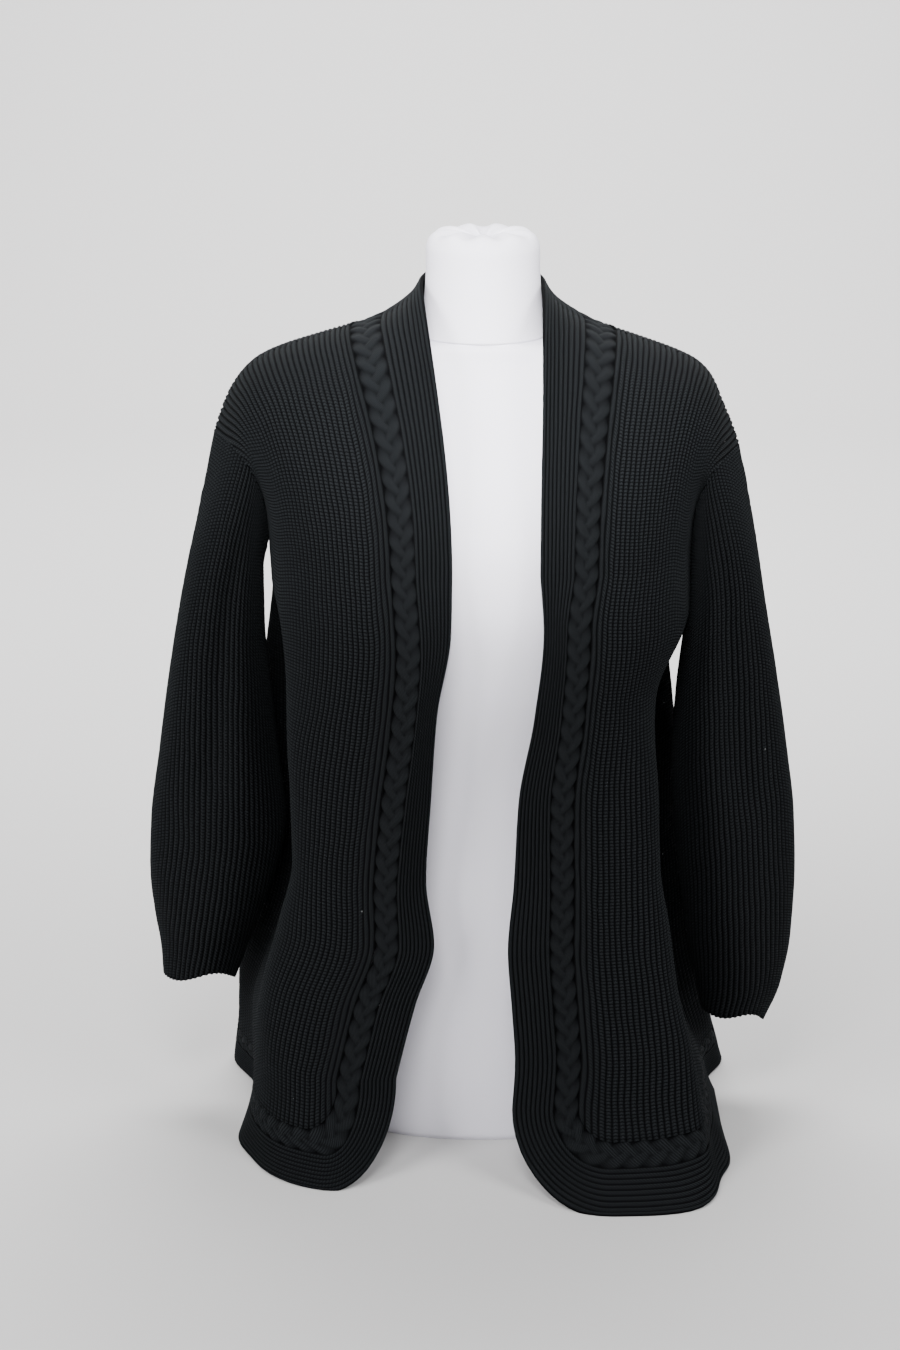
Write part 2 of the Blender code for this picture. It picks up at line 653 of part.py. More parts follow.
def front_panel(name, half):
    """The ribbed front, from the joint with the cable strip to the side and armhole."""
    grid = []
    bottom = [outline(half, JOINT + JOINT_GAP, share) for share in bottom_shares()]
    for share in ROW_SHARES:
        row = []
        for i, (low_along, low_drop) in enumerate(bottom):
            drop = low_drop * (1 - share)
            row.append(hang_cloth(half, panel_along(half, i, low_along, low_drop, share), drop))
        grid.append(row)
    joint_normals = [hang_cloth(half, *outline(half, JOINT, share))[1] for share in bottom_shares()]
    grid[0] = [(point, normal) for (point, _), normal in zip(grid[0], joint_normals)]
    start = half.inward(JOINT + JOINT_GAP, 0.0)
    seam = half.side_seam(0.0) - SEAM_GAP / 2
    for k in range(1, YOKE_ROWS + 1):
        row = []
        for i in range(FRONT_COLUMNS + 1):
            share = i / FRONT_COLUMNS
            along = start + (seam - start) * share
            joint = half.joint_arc + SEAM_GAP
            arc = joint + (half.shoulder_length - joint) * share
            row.append(arch_cloth(half, half.front_arch, along, arc, k / YOKE_ROWS))
        grid.append(row)
    part_seams(grid, half, -1)
    reliefs = [[rib(i) for i in range(FRONT_COLUMNS + 1)] for _ in grid]
    return wall(name, *faces_of(grid, reliefs, 2))


def bottom_shares():
    """Shares of the outline under each of the front's columns, from the corner's top."""
    hem_cells = FRONT_COLUMNS - CORNER_CELLS
    round_corner = [2 - k / CORNER_CELLS for k in range(CORNER_CELLS)]
    return round_corner + [1 - k / hem_cells for k in range(hem_cells + 1)]


def panel_along(half, column, low_along, low_drop, share):
    """How far round a rib of the front lies, this share of the way up."""
    corner_top = outline(half, JOINT + JOINT_GAP, 2.0)[1]
    low_start = half.inward(JOINT + JOINT_GAP, min(low_drop, corner_top))
    low_seam = half.side_seam(low_drop) - SEAM_GAP / 2
    low_place = (low_along - low_start) / (low_seam - low_start)
    place = low_place + (column / FRONT_COLUMNS - low_place) * eased(share)
    drop = low_drop * (1 - share)
    joint_drops = corner_top * (1 - np.array(ROW_SHARES[::-1]))
    starts = [half.inward(JOINT + JOINT_GAP, d) for d in joint_drops]
    start = float(np.interp(drop, joint_drops, starts))
    return start + (half.side_seam(drop) - SEAM_GAP / 2 - start) * place


def part_seams(grid, half, way):
    """Draws a front (way -1) or back (way 1) off the shoulder seam, and evens the armhole."""
    armhole_rows = range(len(grid) - YOKE_ROWS - 1, len(grid))
    for j in armhole_rows:
        turn = (j - armhole_rows[0]) / YOKE_ROWS
        angle = math.pi * turn if way < 0 else math.pi * (2 - turn)
        column = len(grid[j]) - 1
        grid[j][column] = grid[j][column][0], armhole_normal(half, angle)
    away = np.array([0.0, way * SEAM_GAP / 2, 0.0])
    flat = np.array([1.0, 0.0, 1.0])
    for column, (point, normal) in enumerate(grid[-1]):
        on_shoulder = way < 0 or column >= len(grid[-1]) - FRONT_COLUMNS - 1
        if on_shoulder:
            grid[-1][column] = point + away, unit(normal * flat)


def armhole_normal(half, angle):
    """The normal that the body and the sleeve share along the armhole seam."""
    turn = angle / math.pi if angle <= math.pi else 2 - angle / math.pi
    surface, way = (half.front_arch, 1) if angle <= math.pi else (half.back_arch, -1)
    seam = half.side_seam(0.0)
    _, body = arch_cloth(half, surface, seam, half.shoulder_length, turn, way)
    if turn < 1e-6:
        body = np.array([half.side, 0.0, 0.0])
    return unit(body + arm_cloth(half, angle, SEAM_LEAN)[1])


def arm_cloth(half, angle, down):
    """Point and normal of a sleeve."""
    middle = (half.ring(0.0, down) + half.ring(math.pi, down)) / 2
    return half.arm(angle, down), normal_of(half.arm, angle, down, ANGLE_STEP, DOWN_STEP, middle)


def back_panel(name, halves):
    """The ribbed back, from one side seam to the other."""
    rows = []
    per_half = FRONT_COLUMNS + NECK_COLUMNS
    for half in halves:
        grid = []
        front_hem = HEM_DROP - JOINT - SEAM_GAP
        for drop in [HEM_DROP] + [front_hem * (1 - share) for share in ROW_SHARES]:
            start = half.side_seam(drop) + SEAM_GAP / 2
            girth = half.half_girth(drop)
            places = [start + (girth - start) * i / per_half for i in range(per_half + 1)]
            grid.append([hang_cloth(half, along, drop) for along in places][::-1])
        start, girth = half.side_seam(0.0) + SEAM_GAP / 2, half.half_girth(0.0)
        for k in range(1, YOKE_ROWS + 1):
            row = []
            for i in range(per_half + 1):
                along = start + (girth - start) * i / per_half
                point, normal = back_cloth(half, along, i, k / YOKE_ROWS)
                if k == YOKE_ROWS and i > FRONT_COLUMNS:
                    normal = neckline_normal(half, (i - FRONT_COLUMNS) / NECK_COLUMNS)
                row.append((point, normal))
            grid.append(row[::-1])
        part_seams(grid, half, 1)
        rows.append(grid)
    right, left = rows
    grid = [a[::-1] + b[1:] for a, b in zip(right, left)]
    middle = per_half
    reliefs = [[rib(i) for i in range(2 * per_half + 1)] for _ in grid]
    for row in grid:
        point, normal = row[middle]
        row[middle] = np.array([0.0, point[1], point[2]]), unit(normal * np.array([0.0, 1.0, 1.0]))
    outer, inner = faces_of(grid, reliefs, 2)
    return wall(name, outer, inner, top=[point - normal * CLOTH for point, normal in grid[-1]])


def neckline_normal(half, neck_turn):
    """The normal that the cable strip and the back share along the back neckline."""
    column = FRONT_COLUMNS + NECK_COLUMNS * max(neck_turn, NECK_START)
    start, girth = half.side_seam(0.0), half.half_girth(0.0)
    along = start + (girth - start) * column / (FRONT_COLUMNS + NECK_COLUMNS)
    back = back_cloth(half, along, column, 1.0)[1]
    return unit(back + collar_cloth(half, half.joint_arc, neck_turn)[1])


def back_cloth(half, along, column, turn):
    """Point and normal of the back's yoke, under the shoulder seam or the neckline."""
    if column <= FRONT_COLUMNS:
        share = 1 - column / FRONT_COLUMNS
        start = half.joint_arc + SEAM_GAP
        arc = start + (half.shoulder_length - start) * share
        return arch_cloth(half, half.back_arch, along, arc, turn, -1)
    neck_turn = (column - FRONT_COLUMNS) / NECK_COLUMNS
    turn_per_metre = 1 / math.hypot(JOINT_OUT, NECK_DEPTHS[1])

    def sheet(shift, height):
        moved = min(max(neck_turn + shift * turn_per_metre, 0.0), 1.0)
        return half.neckline_arch(along + shift, moved, height)

    low, high = max(turn - TURN_STEP, 0.0), min(turn + TURN_STEP, 1.0)
    across = sheet(STEP, turn) - sheet(-STEP, turn)
    up = sheet(0.0, high) - sheet(0.0, low)
    return sheet(0.0, turn), unit(np.cross(across, up)) * half.side


def strip(name, half, start, end, cells, relief, cell_length=None):
    """A strip parallel to the front's edge. relief gives a point's depth from its places."""
    offsets = [start + (end - start) * i / cells for i in range(cells + 1)]
    grid = []
    for offset in offsets:
        places = strip_places(half, offset)
        grid.append([strip_cloth(half, *place) for place in places])
    grid = [list(row) for row in zip(*grid)]
    if cell_length:
        grid = finer(grid, cell_length)
    run, reliefs = 0.0, []
    for j, row in enumerate(grid):
        if j:
            run += float(np.linalg.norm(row[cells // 2][0] - grid[j - 1][cells // 2][0]))
        reliefs.append([relief(i, run) for i in range(cells + 1)])
    return wall(name, *faces_of(grid, reliefs, cells if cell_length else 2))


def finer(grid, cell_length):
    """The rows of a grid with straight rows added between them, no further apart than this."""
    rows = [grid[0]]
    for low, high in zip(grid, grid[1:]):
        gap = float(np.linalg.norm(high[0][0] - low[0][0]))
        count = max(int(round(gap / cell_length)), 1)
        for k in range(1, count + 1):
            share = k / count
            rows.append([
                (p + (q - p) * share, unit(m + (n - m) * share))
                for (p, m), (q, n) in zip(low, high)
            ])
    return rows


def sleeve(name, half):
    """A ribbed sleeve, whose first ring follows the body's armhole cell by cell."""
    corners = []
    for k in range(YOKE_ROWS):
        corners.append(math.pi * k / YOKE_ROWS)
    for k in range(YOKE_ROWS):
        corners.append(math.pi * (1 + k / YOKE_ROWS))
    angles, first = [], []
    for k, angle in enumerate(corners):
        following = corners[k + 1] if k + 1 < len(corners) else 2 * math.pi
        low, high = half.armhole(angle), half.armhole(following % (2 * math.pi))
        low_normal, high_normal = armhole_normal(half, angle), armhole_normal(half, following)
        for part in range(SLEEVE_CELLS_PER_ROW):
            share = part / SLEEVE_CELLS_PER_ROW
            place = angle + (following - angle) * share
            angles.append(place)
            lead = unit(half.arm(place, SEAM_LEAD) - half.armhole(place))
            twist = float(np.linalg.norm(high_normal - low_normal)) * share * (1 - share)
            gap = SEAM_GAP + CLOTH * TWIST_ROOM * twist
            normal = low_normal + (high_normal - low_normal) * share
            first.append((low + (high - low) * share + lead * gap, normal))
    grid = [first]
    length = half.sleeve_down[-1]
    for k in range(1, SLEEVE_RINGS + 1):
        share = k / SLEEVE_RINGS
        down = length * share**RING_CROWDING
        grid.append([arm_cloth(half, angle, down) for angle in angles])
    reliefs = [[rib(i) for i in range(len(angles))] for _ in grid]
    return wall(name, *faces_of(grid, reliefs, 2), closed=True)


def loft(name, rings):
    """A closed solid through rings of points, with flat ends."""
    mesh = bmesh.new()
    made = [[mesh.verts.new(p) for p in ring] for ring in rings]
    count = len(made[0])
    for low, high in zip(made, made[1:]):
        for i in range(count):
            k = (i + 1) % count
            mesh.faces.new((low[i], low[k], high[k], high[i]))
    mesh.faces.new(made[0][::-1])
    mesh.faces.new(made[-1])
    return finish(name, mesh)


def form_torso():
    """The dress form's torso: ovals at each height, flat at the floor and under the neck."""
    rings = []
    for height, wide, front, back in FORM_TORSO:
        ring = []
        for k in range(FORM_POINTS):
            angle = 2 * math.pi * k / FORM_POINTS
            power = 2 / FORM_SQUARENESS
            x = wide * math.copysign(abs(math.sin(angle)) ** power, math.sin(angle))
            depth = front if math.cos(angle) > 0 else back
            y = -depth * math.copysign(abs(math.cos(angle)) ** power, math.cos(angle))
            ring.append((x, y, height))
        rings.append(ring)
    return loft("form_torso", rings)


def form_neck():
    """The neck's cover, a turned shape whose crown is gathered to its centre."""
    rings = []
    for height, radius, gather in FORM_NECK:
        ring = []
        for k in range(NECK_POINTS):
            angle = 2 * math.pi * k / NECK_POINTS
            lift = gather * math.cos(NECK_GATHERS * angle)
            ring.append((radius * math.sin(angle), -radius * math.cos(angle), height + lift))
        rings.append(ring)
    return loft("form_neck", rings)


def dress(objects, finish_values):
    """Gives objects their material and smooth shading with crisp edges."""
    material = bpy.data.materials.new(finish_values["name"])
    material.use_nodes = True
    shader = material.node_tree.nodes["Principled BSDF"]
    shader.inputs["Base Color"].default_value = finish_values["colour"]
    shader.inputs["Roughness"].default_value = finish_values["roughness"]
    shader.inputs["Metallic"].default_value = 0.0
    for made in objects:
        made.data.materials.append(material)
        made.data.shade_smooth()
        made.data.set_sharp_from_angle(angle=math.radians(50))


for old in list(bpy.data.objects):
    bpy.data.objects.remove(old)
COLLECTION = bpy.data.collections.new("cardigan_on_dress_form")
bpy.context.scene.collection.children.link(COLLECTION)

RIGHT = Half(
    -1, BODY_RIGHT, FOLDS_RIGHT, SHOULDER_RIGHT, CORNER_RIGHT, SLEEVE_RIGHT, SLEEVE_FOLDS_RIGHT
)
LEFT = Half(
    1, BODY_LEFT, FOLDS_LEFT, SHOULDER_LEFT, CORNER_LEFT, SLEEVE_LEFT, SLEEVE_FOLDS_LEFT
)

knitted = [back_panel("back", (RIGHT, LEFT))]
for word, half in (("right", RIGHT), ("left", LEFT)):
    knitted.append(front_panel(f"front_{word}", half))
    knitted.append(sleeve(f"sleeve_{word}", half))
    knitted.append(
        strip(f"border_{word}", half, 0.0, BORDER_WIDTH - SEAM_GAP / 2, BORDER_COLUMNS,
              lambda column, run: rib(column + 1))
    )
    knitted.append(
        strip(f"cable_{word}", half, BORDER_WIDTH + SEAM_GAP / 2, JOINT, CABLE_COLUMNS,
              lambda column, run: plait(2 * column / CABLE_COLUMNS - 1, run), CABLE_CELL)
    )
dress(knitted, BLACK_KNIT)
dress([form_torso(), form_neck()], WHITE_JERSEY)
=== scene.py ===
"""Open-front ribbed cardigan with plaited cable borders, worn by a limbless dress form.

Units are metres, +Z is up and the front faces -Y, so the wearer's right is -X. The cloth
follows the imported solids' form. Its ribs, plaits and stitches are added here at real size.
"""

import logging
import math
from collections.abc import Sequence
from dataclasses import dataclass
from enum import Enum

import bpy
import numpy as np
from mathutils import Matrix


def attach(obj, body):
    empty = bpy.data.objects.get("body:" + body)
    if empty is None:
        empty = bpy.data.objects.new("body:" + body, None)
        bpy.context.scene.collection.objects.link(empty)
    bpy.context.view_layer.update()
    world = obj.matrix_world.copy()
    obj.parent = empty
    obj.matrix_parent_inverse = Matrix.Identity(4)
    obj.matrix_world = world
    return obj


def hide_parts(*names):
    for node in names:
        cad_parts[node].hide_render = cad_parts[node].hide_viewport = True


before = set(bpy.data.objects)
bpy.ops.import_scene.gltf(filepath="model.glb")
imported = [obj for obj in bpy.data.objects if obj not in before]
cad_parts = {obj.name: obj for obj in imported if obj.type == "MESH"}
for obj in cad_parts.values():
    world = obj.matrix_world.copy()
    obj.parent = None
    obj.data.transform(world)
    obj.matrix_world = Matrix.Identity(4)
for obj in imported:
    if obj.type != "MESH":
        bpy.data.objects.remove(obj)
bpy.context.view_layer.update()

Table = tuple[tuple[float, ...], ...]

# Cloth thickness is taken at a rib's crest, and a rib's valley lies this far under it.
CLOTH = 0.0040
RIB_RELIEF = 0.0017

# The strips along the front edge and hem: the ribbed border and the cable.
BORDER_WIDTH = 0.039
CABLE_WIDTH = 0.023
JOINT = BORDER_WIDTH + CABLE_WIDTH
PLAIT_REPEAT = 0.057
PLAIT_RELIEF = 0.0030

# Grid cells across the strips, and the distance from row to row along them.
BORDER_CELLS, BORDER_STEP = 54, 0.003
CABLE_CELLS, CABLE_STEP = 28, 0.0012

# Real distances from rib to rib at the underarm, the shoulder and the top of the sleeve,
# and the height of one row of stitches. Where the body's cloth is wider than at the
# underarm its ribs are this power of it further apart, and the rest of it has more ribs.
# The ribs that end at the armhole lean towards it by a power of their place. The front's
# ribs lean outwards over the hem's last stretch, by this many ribs at the side seam.
BODY_PITCH = 0.0049
SHOULDER_PITCH = 0.0059
SLEEVE_PITCH = 0.0050
PITCH_STRETCH = 0.35
ENDING_POWER = 1.5
HEM_LEAN = 7.0
HEM_LEAN_DROP = 0.200
BORDER_RIBS = 9
COURSE = 0.0032

# How many ribs the unevenness of the yarn moves a rib by, and the lengths of its waves.
# The seeds keep the pieces apart: the sleeves' and fronts' have the side added.
WANDER = 0.10
BORDER_WANDER = 0.06
WANDER_LENGTHS = (0.045, 0.080, 0.140)
BACK_SEED, FRONT_SEED, SLEEVE_SEED, BORDER_SEED = 7, 3, 11, 17

# Rows of the arches over the chest and back lie closer together towards their foot by
# this power of what is left of the turn.
TURN_POWER = 1.3

# Lengths that the body tables share, and how square the back's plan is. The side seam
# runs straight down from the underarm at first, then drifts back round the section.
HEM_DROP = 0.600
BACK_SQUARENESS = 2.5
SEAM_DRIFT = 14.0
SEAM_DRIFT_DROP = 0.220

# The arches over the chest and back. Their depth falls as a power of the cosine. The
# armhole stands out by its own half depth, and is squarer, as a cut armhole is, by the
# powers of the cosine sideways and the sine upwards. The higher the fullness power, the
# less the chest's depth and the armhole's add up.
ARCH_POWER = 0.8
FULLNESS_POWER = 1.25
ARMHOLE_HALF_DEPTH = 0.058
ARMHOLE_SIDEWAYS = 0.9
ARMHOLE_UPWARDS = 0.65

# How much the front edge turns back to the form for each metre of border out of view.
TURN_BACK = 0.55

# The body hangs from the underarm down. drop is the distance down the cloth, edge is
# how far the front edge lies from the middle plane. seen is the share of the border's
# width left in view where its edge turns back to the form.
BODY_COLUMNS = ("drop", "height", "half_width", "front", "back", "edge", "squareness", "seen")
BODY_RIGHT: Table = (
    (0.000, 0.572, 0.200, 0.138, 0.118, 0.027, 2.5, 0.85),
    (0.052, 0.520, 0.197, 0.146, 0.121, 0.028, 2.6, 0.72),
    (0.132, 0.440, 0.192, 0.150, 0.122, 0.041, 2.7, 0.50),
    (0.212, 0.360, 0.186, 0.150, 0.122, 0.047, 2.8, 0.62),
    (0.292, 0.280, 0.184, 0.150, 0.124, 0.052, 2.9, 0.70),
    (0.352, 0.220, 0.198, 0.151, 0.127, 0.045, 3.0, 0.86),
    (0.412, 0.160, 0.214, 0.154, 0.131, 0.063, 3.2, 0.90),
    (0.463, 0.110, 0.222, 0.160, 0.136, 0.076, 3.4, 0.88),
    (0.516, 0.060, 0.224, 0.172, 0.143, 0.088, 3.6, 0.88),
    (0.560, 0.025, 0.229, 0.192, 0.150, 0.094, 3.8, 0.92),
    (0.600, 0.000, 0.233, 0.218, 0.157, 0.096, 4.0, 1.00),
)
BODY_LEFT: Table = (
    (0.000, 0.572, 0.195, 0.138, 0.118, 0.051, 2.5, 0.80),
    (0.052, 0.520, 0.195, 0.146, 0.121, 0.054, 2.6, 0.55),
    (0.132, 0.440, 0.170, 0.150, 0.122, 0.046, 2.7, 0.64),
    (0.212, 0.360, 0.166, 0.151, 0.122, 0.032, 2.8, 0.76),
    (0.292, 0.280, 0.168, 0.152, 0.124, 0.028, 3.0, 0.88),
    (0.352, 0.220, 0.178, 0.153, 0.127, 0.023, 3.2, 1.00),
    (0.412, 0.160, 0.186, 0.157, 0.131, 0.027, 3.6, 1.00),
    (0.463, 0.110, 0.198, 0.164, 0.136, 0.030, 4.2, 1.00),
    (0.516, 0.060, 0.209, 0.178, 0.143, 0.027, 4.8, 1.00),
    (0.560, 0.025, 0.219, 0.207, 0.150, 0.027, 6.4, 1.00),
    (0.600, 0.000, 0.226, 0.256, 0.157, 0.027, 8.0, 1.00),
)

# Folds of the body: where round the section (0 centre front, 90 side, 180 centre back)
# and how wide it is, both in degrees, the drops that it runs between, and how far it
# stands out or, if negative, in.
BODY_FOLDS_RIGHT: Table = (
    (60, 16, 0.090, 0.520, 0.010),
    (88, 12, 0.050, 0.480, -0.014),
    (84, 9, 0.030, 0.260, -0.012),
    (109, 14, -0.020, 0.780, 0.040),
    (93, 9, 0.500, 0.900, -0.012),
    (78, 10, 0.540, 0.900, 0.012),
    (136, 12, 0.100, 0.800, -0.008),
    (160, 12, 0.060, 0.800, 0.009),
)
BODY_FOLDS_LEFT: Table = (
    (58, 15, 0.110, 0.600, 0.016),
    (85, 12, 0.080, 0.560, -0.020),
    (109, 15, 0.030, 0.780, 0.034),
    (95, 7, 0.500, 0.900, -0.014),
    (86, 8, 0.530, 0.900, 0.014),
    (134, 11, 0.120, 0.800, -0.009),
    (157, 12, 0.080, 0.800, 0.010),
)

# The shoulder line from the border's neck edge to the top of the armhole: distance
# from the middle plane and height. The cable and the ribs start at these distances.
SHOULDER_RIGHT: Table = (
    (0.058, 0.818), (0.066, 0.804), (0.076, 0.795), (0.094, 0.785), (0.122, 0.777),
    (0.149, 0.769), (0.186, 0.757), (0.208, 0.747), (0.222, 0.735), (0.234, 0.718),
    (0.243, 0.698), (0.250, 0.678),
)
SHOULDER_LEFT: Table = (
    (0.057, 0.816), (0.065, 0.802), (0.075, 0.792), (0.094, 0.782), (0.122, 0.773),
    (0.149, 0.764), (0.181, 0.752), (0.200, 0.742), (0.212, 0.729), (0.222, 0.707),
    (0.232, 0.684), (0.239, 0.665),
)
CABLE_OUT = 0.094
JOINT_OUT = 0.122

# The round front corner of each hem, as its radius along the hem and up the edge.
CORNER_RIGHT = (0.075, 0.115)
CORNER_LEFT = (0.092, 0.092)
LEAST_CORNER = 0.034

# At the centre back of the neck, the strips' neck edge and outer edge lie this far
# behind the axis and this high.
NECK_DEPTHS = (0.068, 0.100)
NECK_HEIGHTS = (0.828, 0.767)

# Each sleeve hangs from its armhole: heights and distances from the middle plane of
# its inner and outer edges, and its depth from front to back.
SLEEVE_COLUMNS = ("inner_height", "outer_height", "inner", "outer", "half_depth", "middle")
SLEEVE_RIGHT: Table = (
    (0.572, 0.678, 0.200, 0.250, 0.058, 0.000),
    (0.538, 0.606, 0.207, 0.266, 0.064, -0.002),
    (0.492, 0.526, 0.207, 0.284, 0.068, -0.004),
    (0.430, 0.445, 0.202, 0.299, 0.066, -0.006),
    (0.362, 0.368, 0.196, 0.311, 0.060, -0.008),
    (0.298, 0.300, 0.190, 0.321, 0.055, -0.010),
    (0.240, 0.242, 0.202, 0.324, 0.051, -0.010),
    (0.196, 0.198, 0.219, 0.321, 0.046, -0.008),
    (0.164, 0.165, 0.233, 0.317, 0.040, -0.006),
    (0.138, 0.137, 0.244, 0.316, 0.038, -0.006),
)
SLEEVE_LEFT: Table = (
    (0.572, 0.665, 0.195, 0.239, 0.058, 0.000),
    (0.535, 0.592, 0.195, 0.254, 0.064, -0.002),
    (0.482, 0.520, 0.190, 0.266, 0.067, -0.004),
    (0.425, 0.448, 0.184, 0.279, 0.066, -0.006),
    (0.362, 0.374, 0.181, 0.291, 0.062, -0.008),
    (0.300, 0.306, 0.184, 0.300, 0.058, -0.010),
    (0.235, 0.238, 0.191, 0.303, 0.054, -0.010),
    (0.176, 0.178, 0.199, 0.302, 0.048, -0.008),
    (0.128, 0.128, 0.210, 0.294, 0.041, -0.006),
    (0.099, 0.092, 0.216, 0.279, 0.038, -0.006),
)

# Long folds of the sleeves: where round the sleeve each starts (0 is the inner edge, 90
# the front, 180 the outer edge), how far it drifts round and how wide it is, all in
# degrees, the distances down that it runs between, and how far it stands out.
SLEEVE_FOLDS_RIGHT: Table = (
    (72, 26, 20, 0.010, 0.330, -0.010),
    (128, 8, 22, 0.060, 0.460, 0.004),
    (250, -20, 20, 0.020, 0.400, -0.008),
)
SLEEVE_FOLDS_LEFT: Table = (
    (84, 22, 20, 0.010, 0.330, -0.011),
    (136, 8, 22, 0.060, 0.480, 0.004),
    (262, -18, 20, 0.020, 0.420, -0.008),
)

# The sleeve takes on its own shape over this length. From this share of its length on
# the cuff waves up and down, and its inner and outer edges hang lower by the pinch.
SLEEVE_LEAD = 0.090
CUFF_WAVE = 0.004
CUFF_WAVES = 3
CUFF_PINCH = 0.007
CUFF_SHARE = 0.85

# The dress form: half width, depth before and behind the axis, at each height.
TORSO_COLUMNS = ("height", "half_width", "front", "back")
FORM_TORSO: Table = (
    (0.0000, 0.158, 0.106, 0.098),
    (0.0060, 0.161, 0.109, 0.101),
    (0.0700, 0.165, 0.112, 0.108),
    (0.1500, 0.164, 0.112, 0.109),
    (0.2300, 0.154, 0.107, 0.101),
    (0.3100, 0.136, 0.099, 0.090),
    (0.3900, 0.124, 0.094, 0.084),
    (0.4600, 0.132, 0.098, 0.088),
    (0.5300, 0.146, 0.109, 0.095),
    (0.5800, 0.155, 0.112, 0.101),
    (0.6300, 0.166, 0.105, 0.103),
    (0.6800, 0.180, 0.090, 0.097),
    (0.7150, 0.187, 0.077, 0.083),
    (0.7350, 0.186, 0.068, 0.071),
    (0.7460, 0.178, 0.063, 0.063),
    (0.7550, 0.149, 0.060, 0.060),
    (0.7620, 0.120, 0.059, 0.059),
    (0.7665, 0.090, 0.058, 0.058),
    (0.7690, 0.061, 0.058, 0.058),
)
FORM_SQUARENESS = 2.2

# The neck's jersey cover: radius and height of the gathers at each height.
NECK_COLUMNS = ("height", "radius", "gather")
FORM_NECK: Table = (
    (0.7693, 0.0600, 0.0),
    (0.7840, 0.0568, 0.0),
    (0.8060, 0.0535, 0.0),
    (0.8300, 0.0520, 0.0),
    (0.8460, 0.0520, 0.0),
    (0.8560, 0.0495, 0.0006),
    (0.8615, 0.0430, 0.0014),
    (0.8625, 0.0330, 0.0020),
    (0.8600, 0.0200, 0.0024),
    (0.8560, 0.0080, 0.0014),
)
NECK_GATHERS = 9


def named_columns(table: Table, names: Sequence[str]) -> dict[str, np.ndarray]:
    """Splits a table into its columns.

    Args:
        table: Rows of numbers.
        names: The columns' names, in order.

    Returns:
        Each column's numbers under its name.
    """
    return dict(zip(names, np.array(table, float).T))


def eased(share: np.ndarray) -> np.ndarray:
    """Three squares less two cubes of the share, held between 0 and 1."""
    held = np.clip(share, 0.0, 1.0)
    return held * held * (3 - 2 * held)


def window(x: np.ndarray, start: float, end: float) -> np.ndarray:
    """Rises from 0 to 1 over a stretch's first quarter and falls over its last.

    Args:
        x: Places to work it out at.
        start: Where the stretch starts.
        end: Where it ends.

    Returns:
        The window's height at each place.
    """
    share = (x - start) / (end - start)
    return eased(4 * np.minimum(share, 1 - share))


def unit(vectors: np.ndarray) -> np.ndarray:
    """Vectors divided by their own lengths."""
    return vectors / np.maximum(np.linalg.norm(vectors, axis=-1, keepdims=True), 1e-12)


class Curve:
    """A smooth curve through points, which never overshoots them."""

    def __init__(self, xs: np.ndarray, ys: np.ndarray) -> None:
        """Keeps the points and works out the slope at each one.

        The slope at an inner point is the harmonic mean of those beside it, or 0 where
        the curve turns back.

        Args:
            xs: The points' places, rising.
            ys: Their heights.
        """
        self.xs, self.ys = np.asarray(xs, float), np.asarray(ys, float)
        slopes = np.diff(self.ys) / np.diff(self.xs)
        product, total = slopes[:-1] * slopes[1:], slopes[:-1] + slopes[1:]
        same_way = product > 0
        inner = np.where(same_way, 2 * product / np.where(same_way, total, 1.0), 0.0)
        self.slopes = np.concatenate([slopes[:1], inner, slopes[-1:]])

    def at(self, x: np.ndarray) -> np.ndarray:
        """The cubic through the two nearest points with their slopes.

        Args:
            x: Places, held between the first and the last point.

        Returns:
            The curve's height at each place.
        """
        x = np.clip(x, self.xs[0], self.xs[-1])
        k = np.clip(np.searchsorted(self.xs, x, side="right") - 1, 0, len(self.xs) - 2)
        span = self.xs[k + 1] - self.xs[k]
        t = (x - self.xs[k]) / span
        return (
            (1 + 2 * t) * (1 - t) ** 2 * self.ys[k]
            + t * (1 - t) ** 2 * span * self.slopes[k]
            + t * t * (3 - 2 * t) * self.ys[k + 1]
            + t * t * (t - 1) * span * self.slopes[k + 1]
        )


@dataclass(frozen=True)
class HalfMeasures:
    """The tables of one half of the garment. side is -1 for the wearer's right."""

    word: str
    side: int
    body: Table
    body_folds: Table
    shoulder: Table
    corner: tuple[float, float]
    sleeve: Table
    sleeve_folds: Table


RIGHT_HALF = HalfMeasures(
    "right", -1, BODY_RIGHT, BODY_FOLDS_RIGHT, SHOULDER_RIGHT, CORNER_RIGHT, SLEEVE_RIGHT,
    SLEEVE_FOLDS_RIGHT,
)
LEFT_HALF = HalfMeasures(
    "left", 1, BODY_LEFT, BODY_FOLDS_LEFT, SHOULDER_LEFT, CORNER_LEFT, SLEEVE_LEFT,
    SLEEVE_FOLDS_LEFT,
)


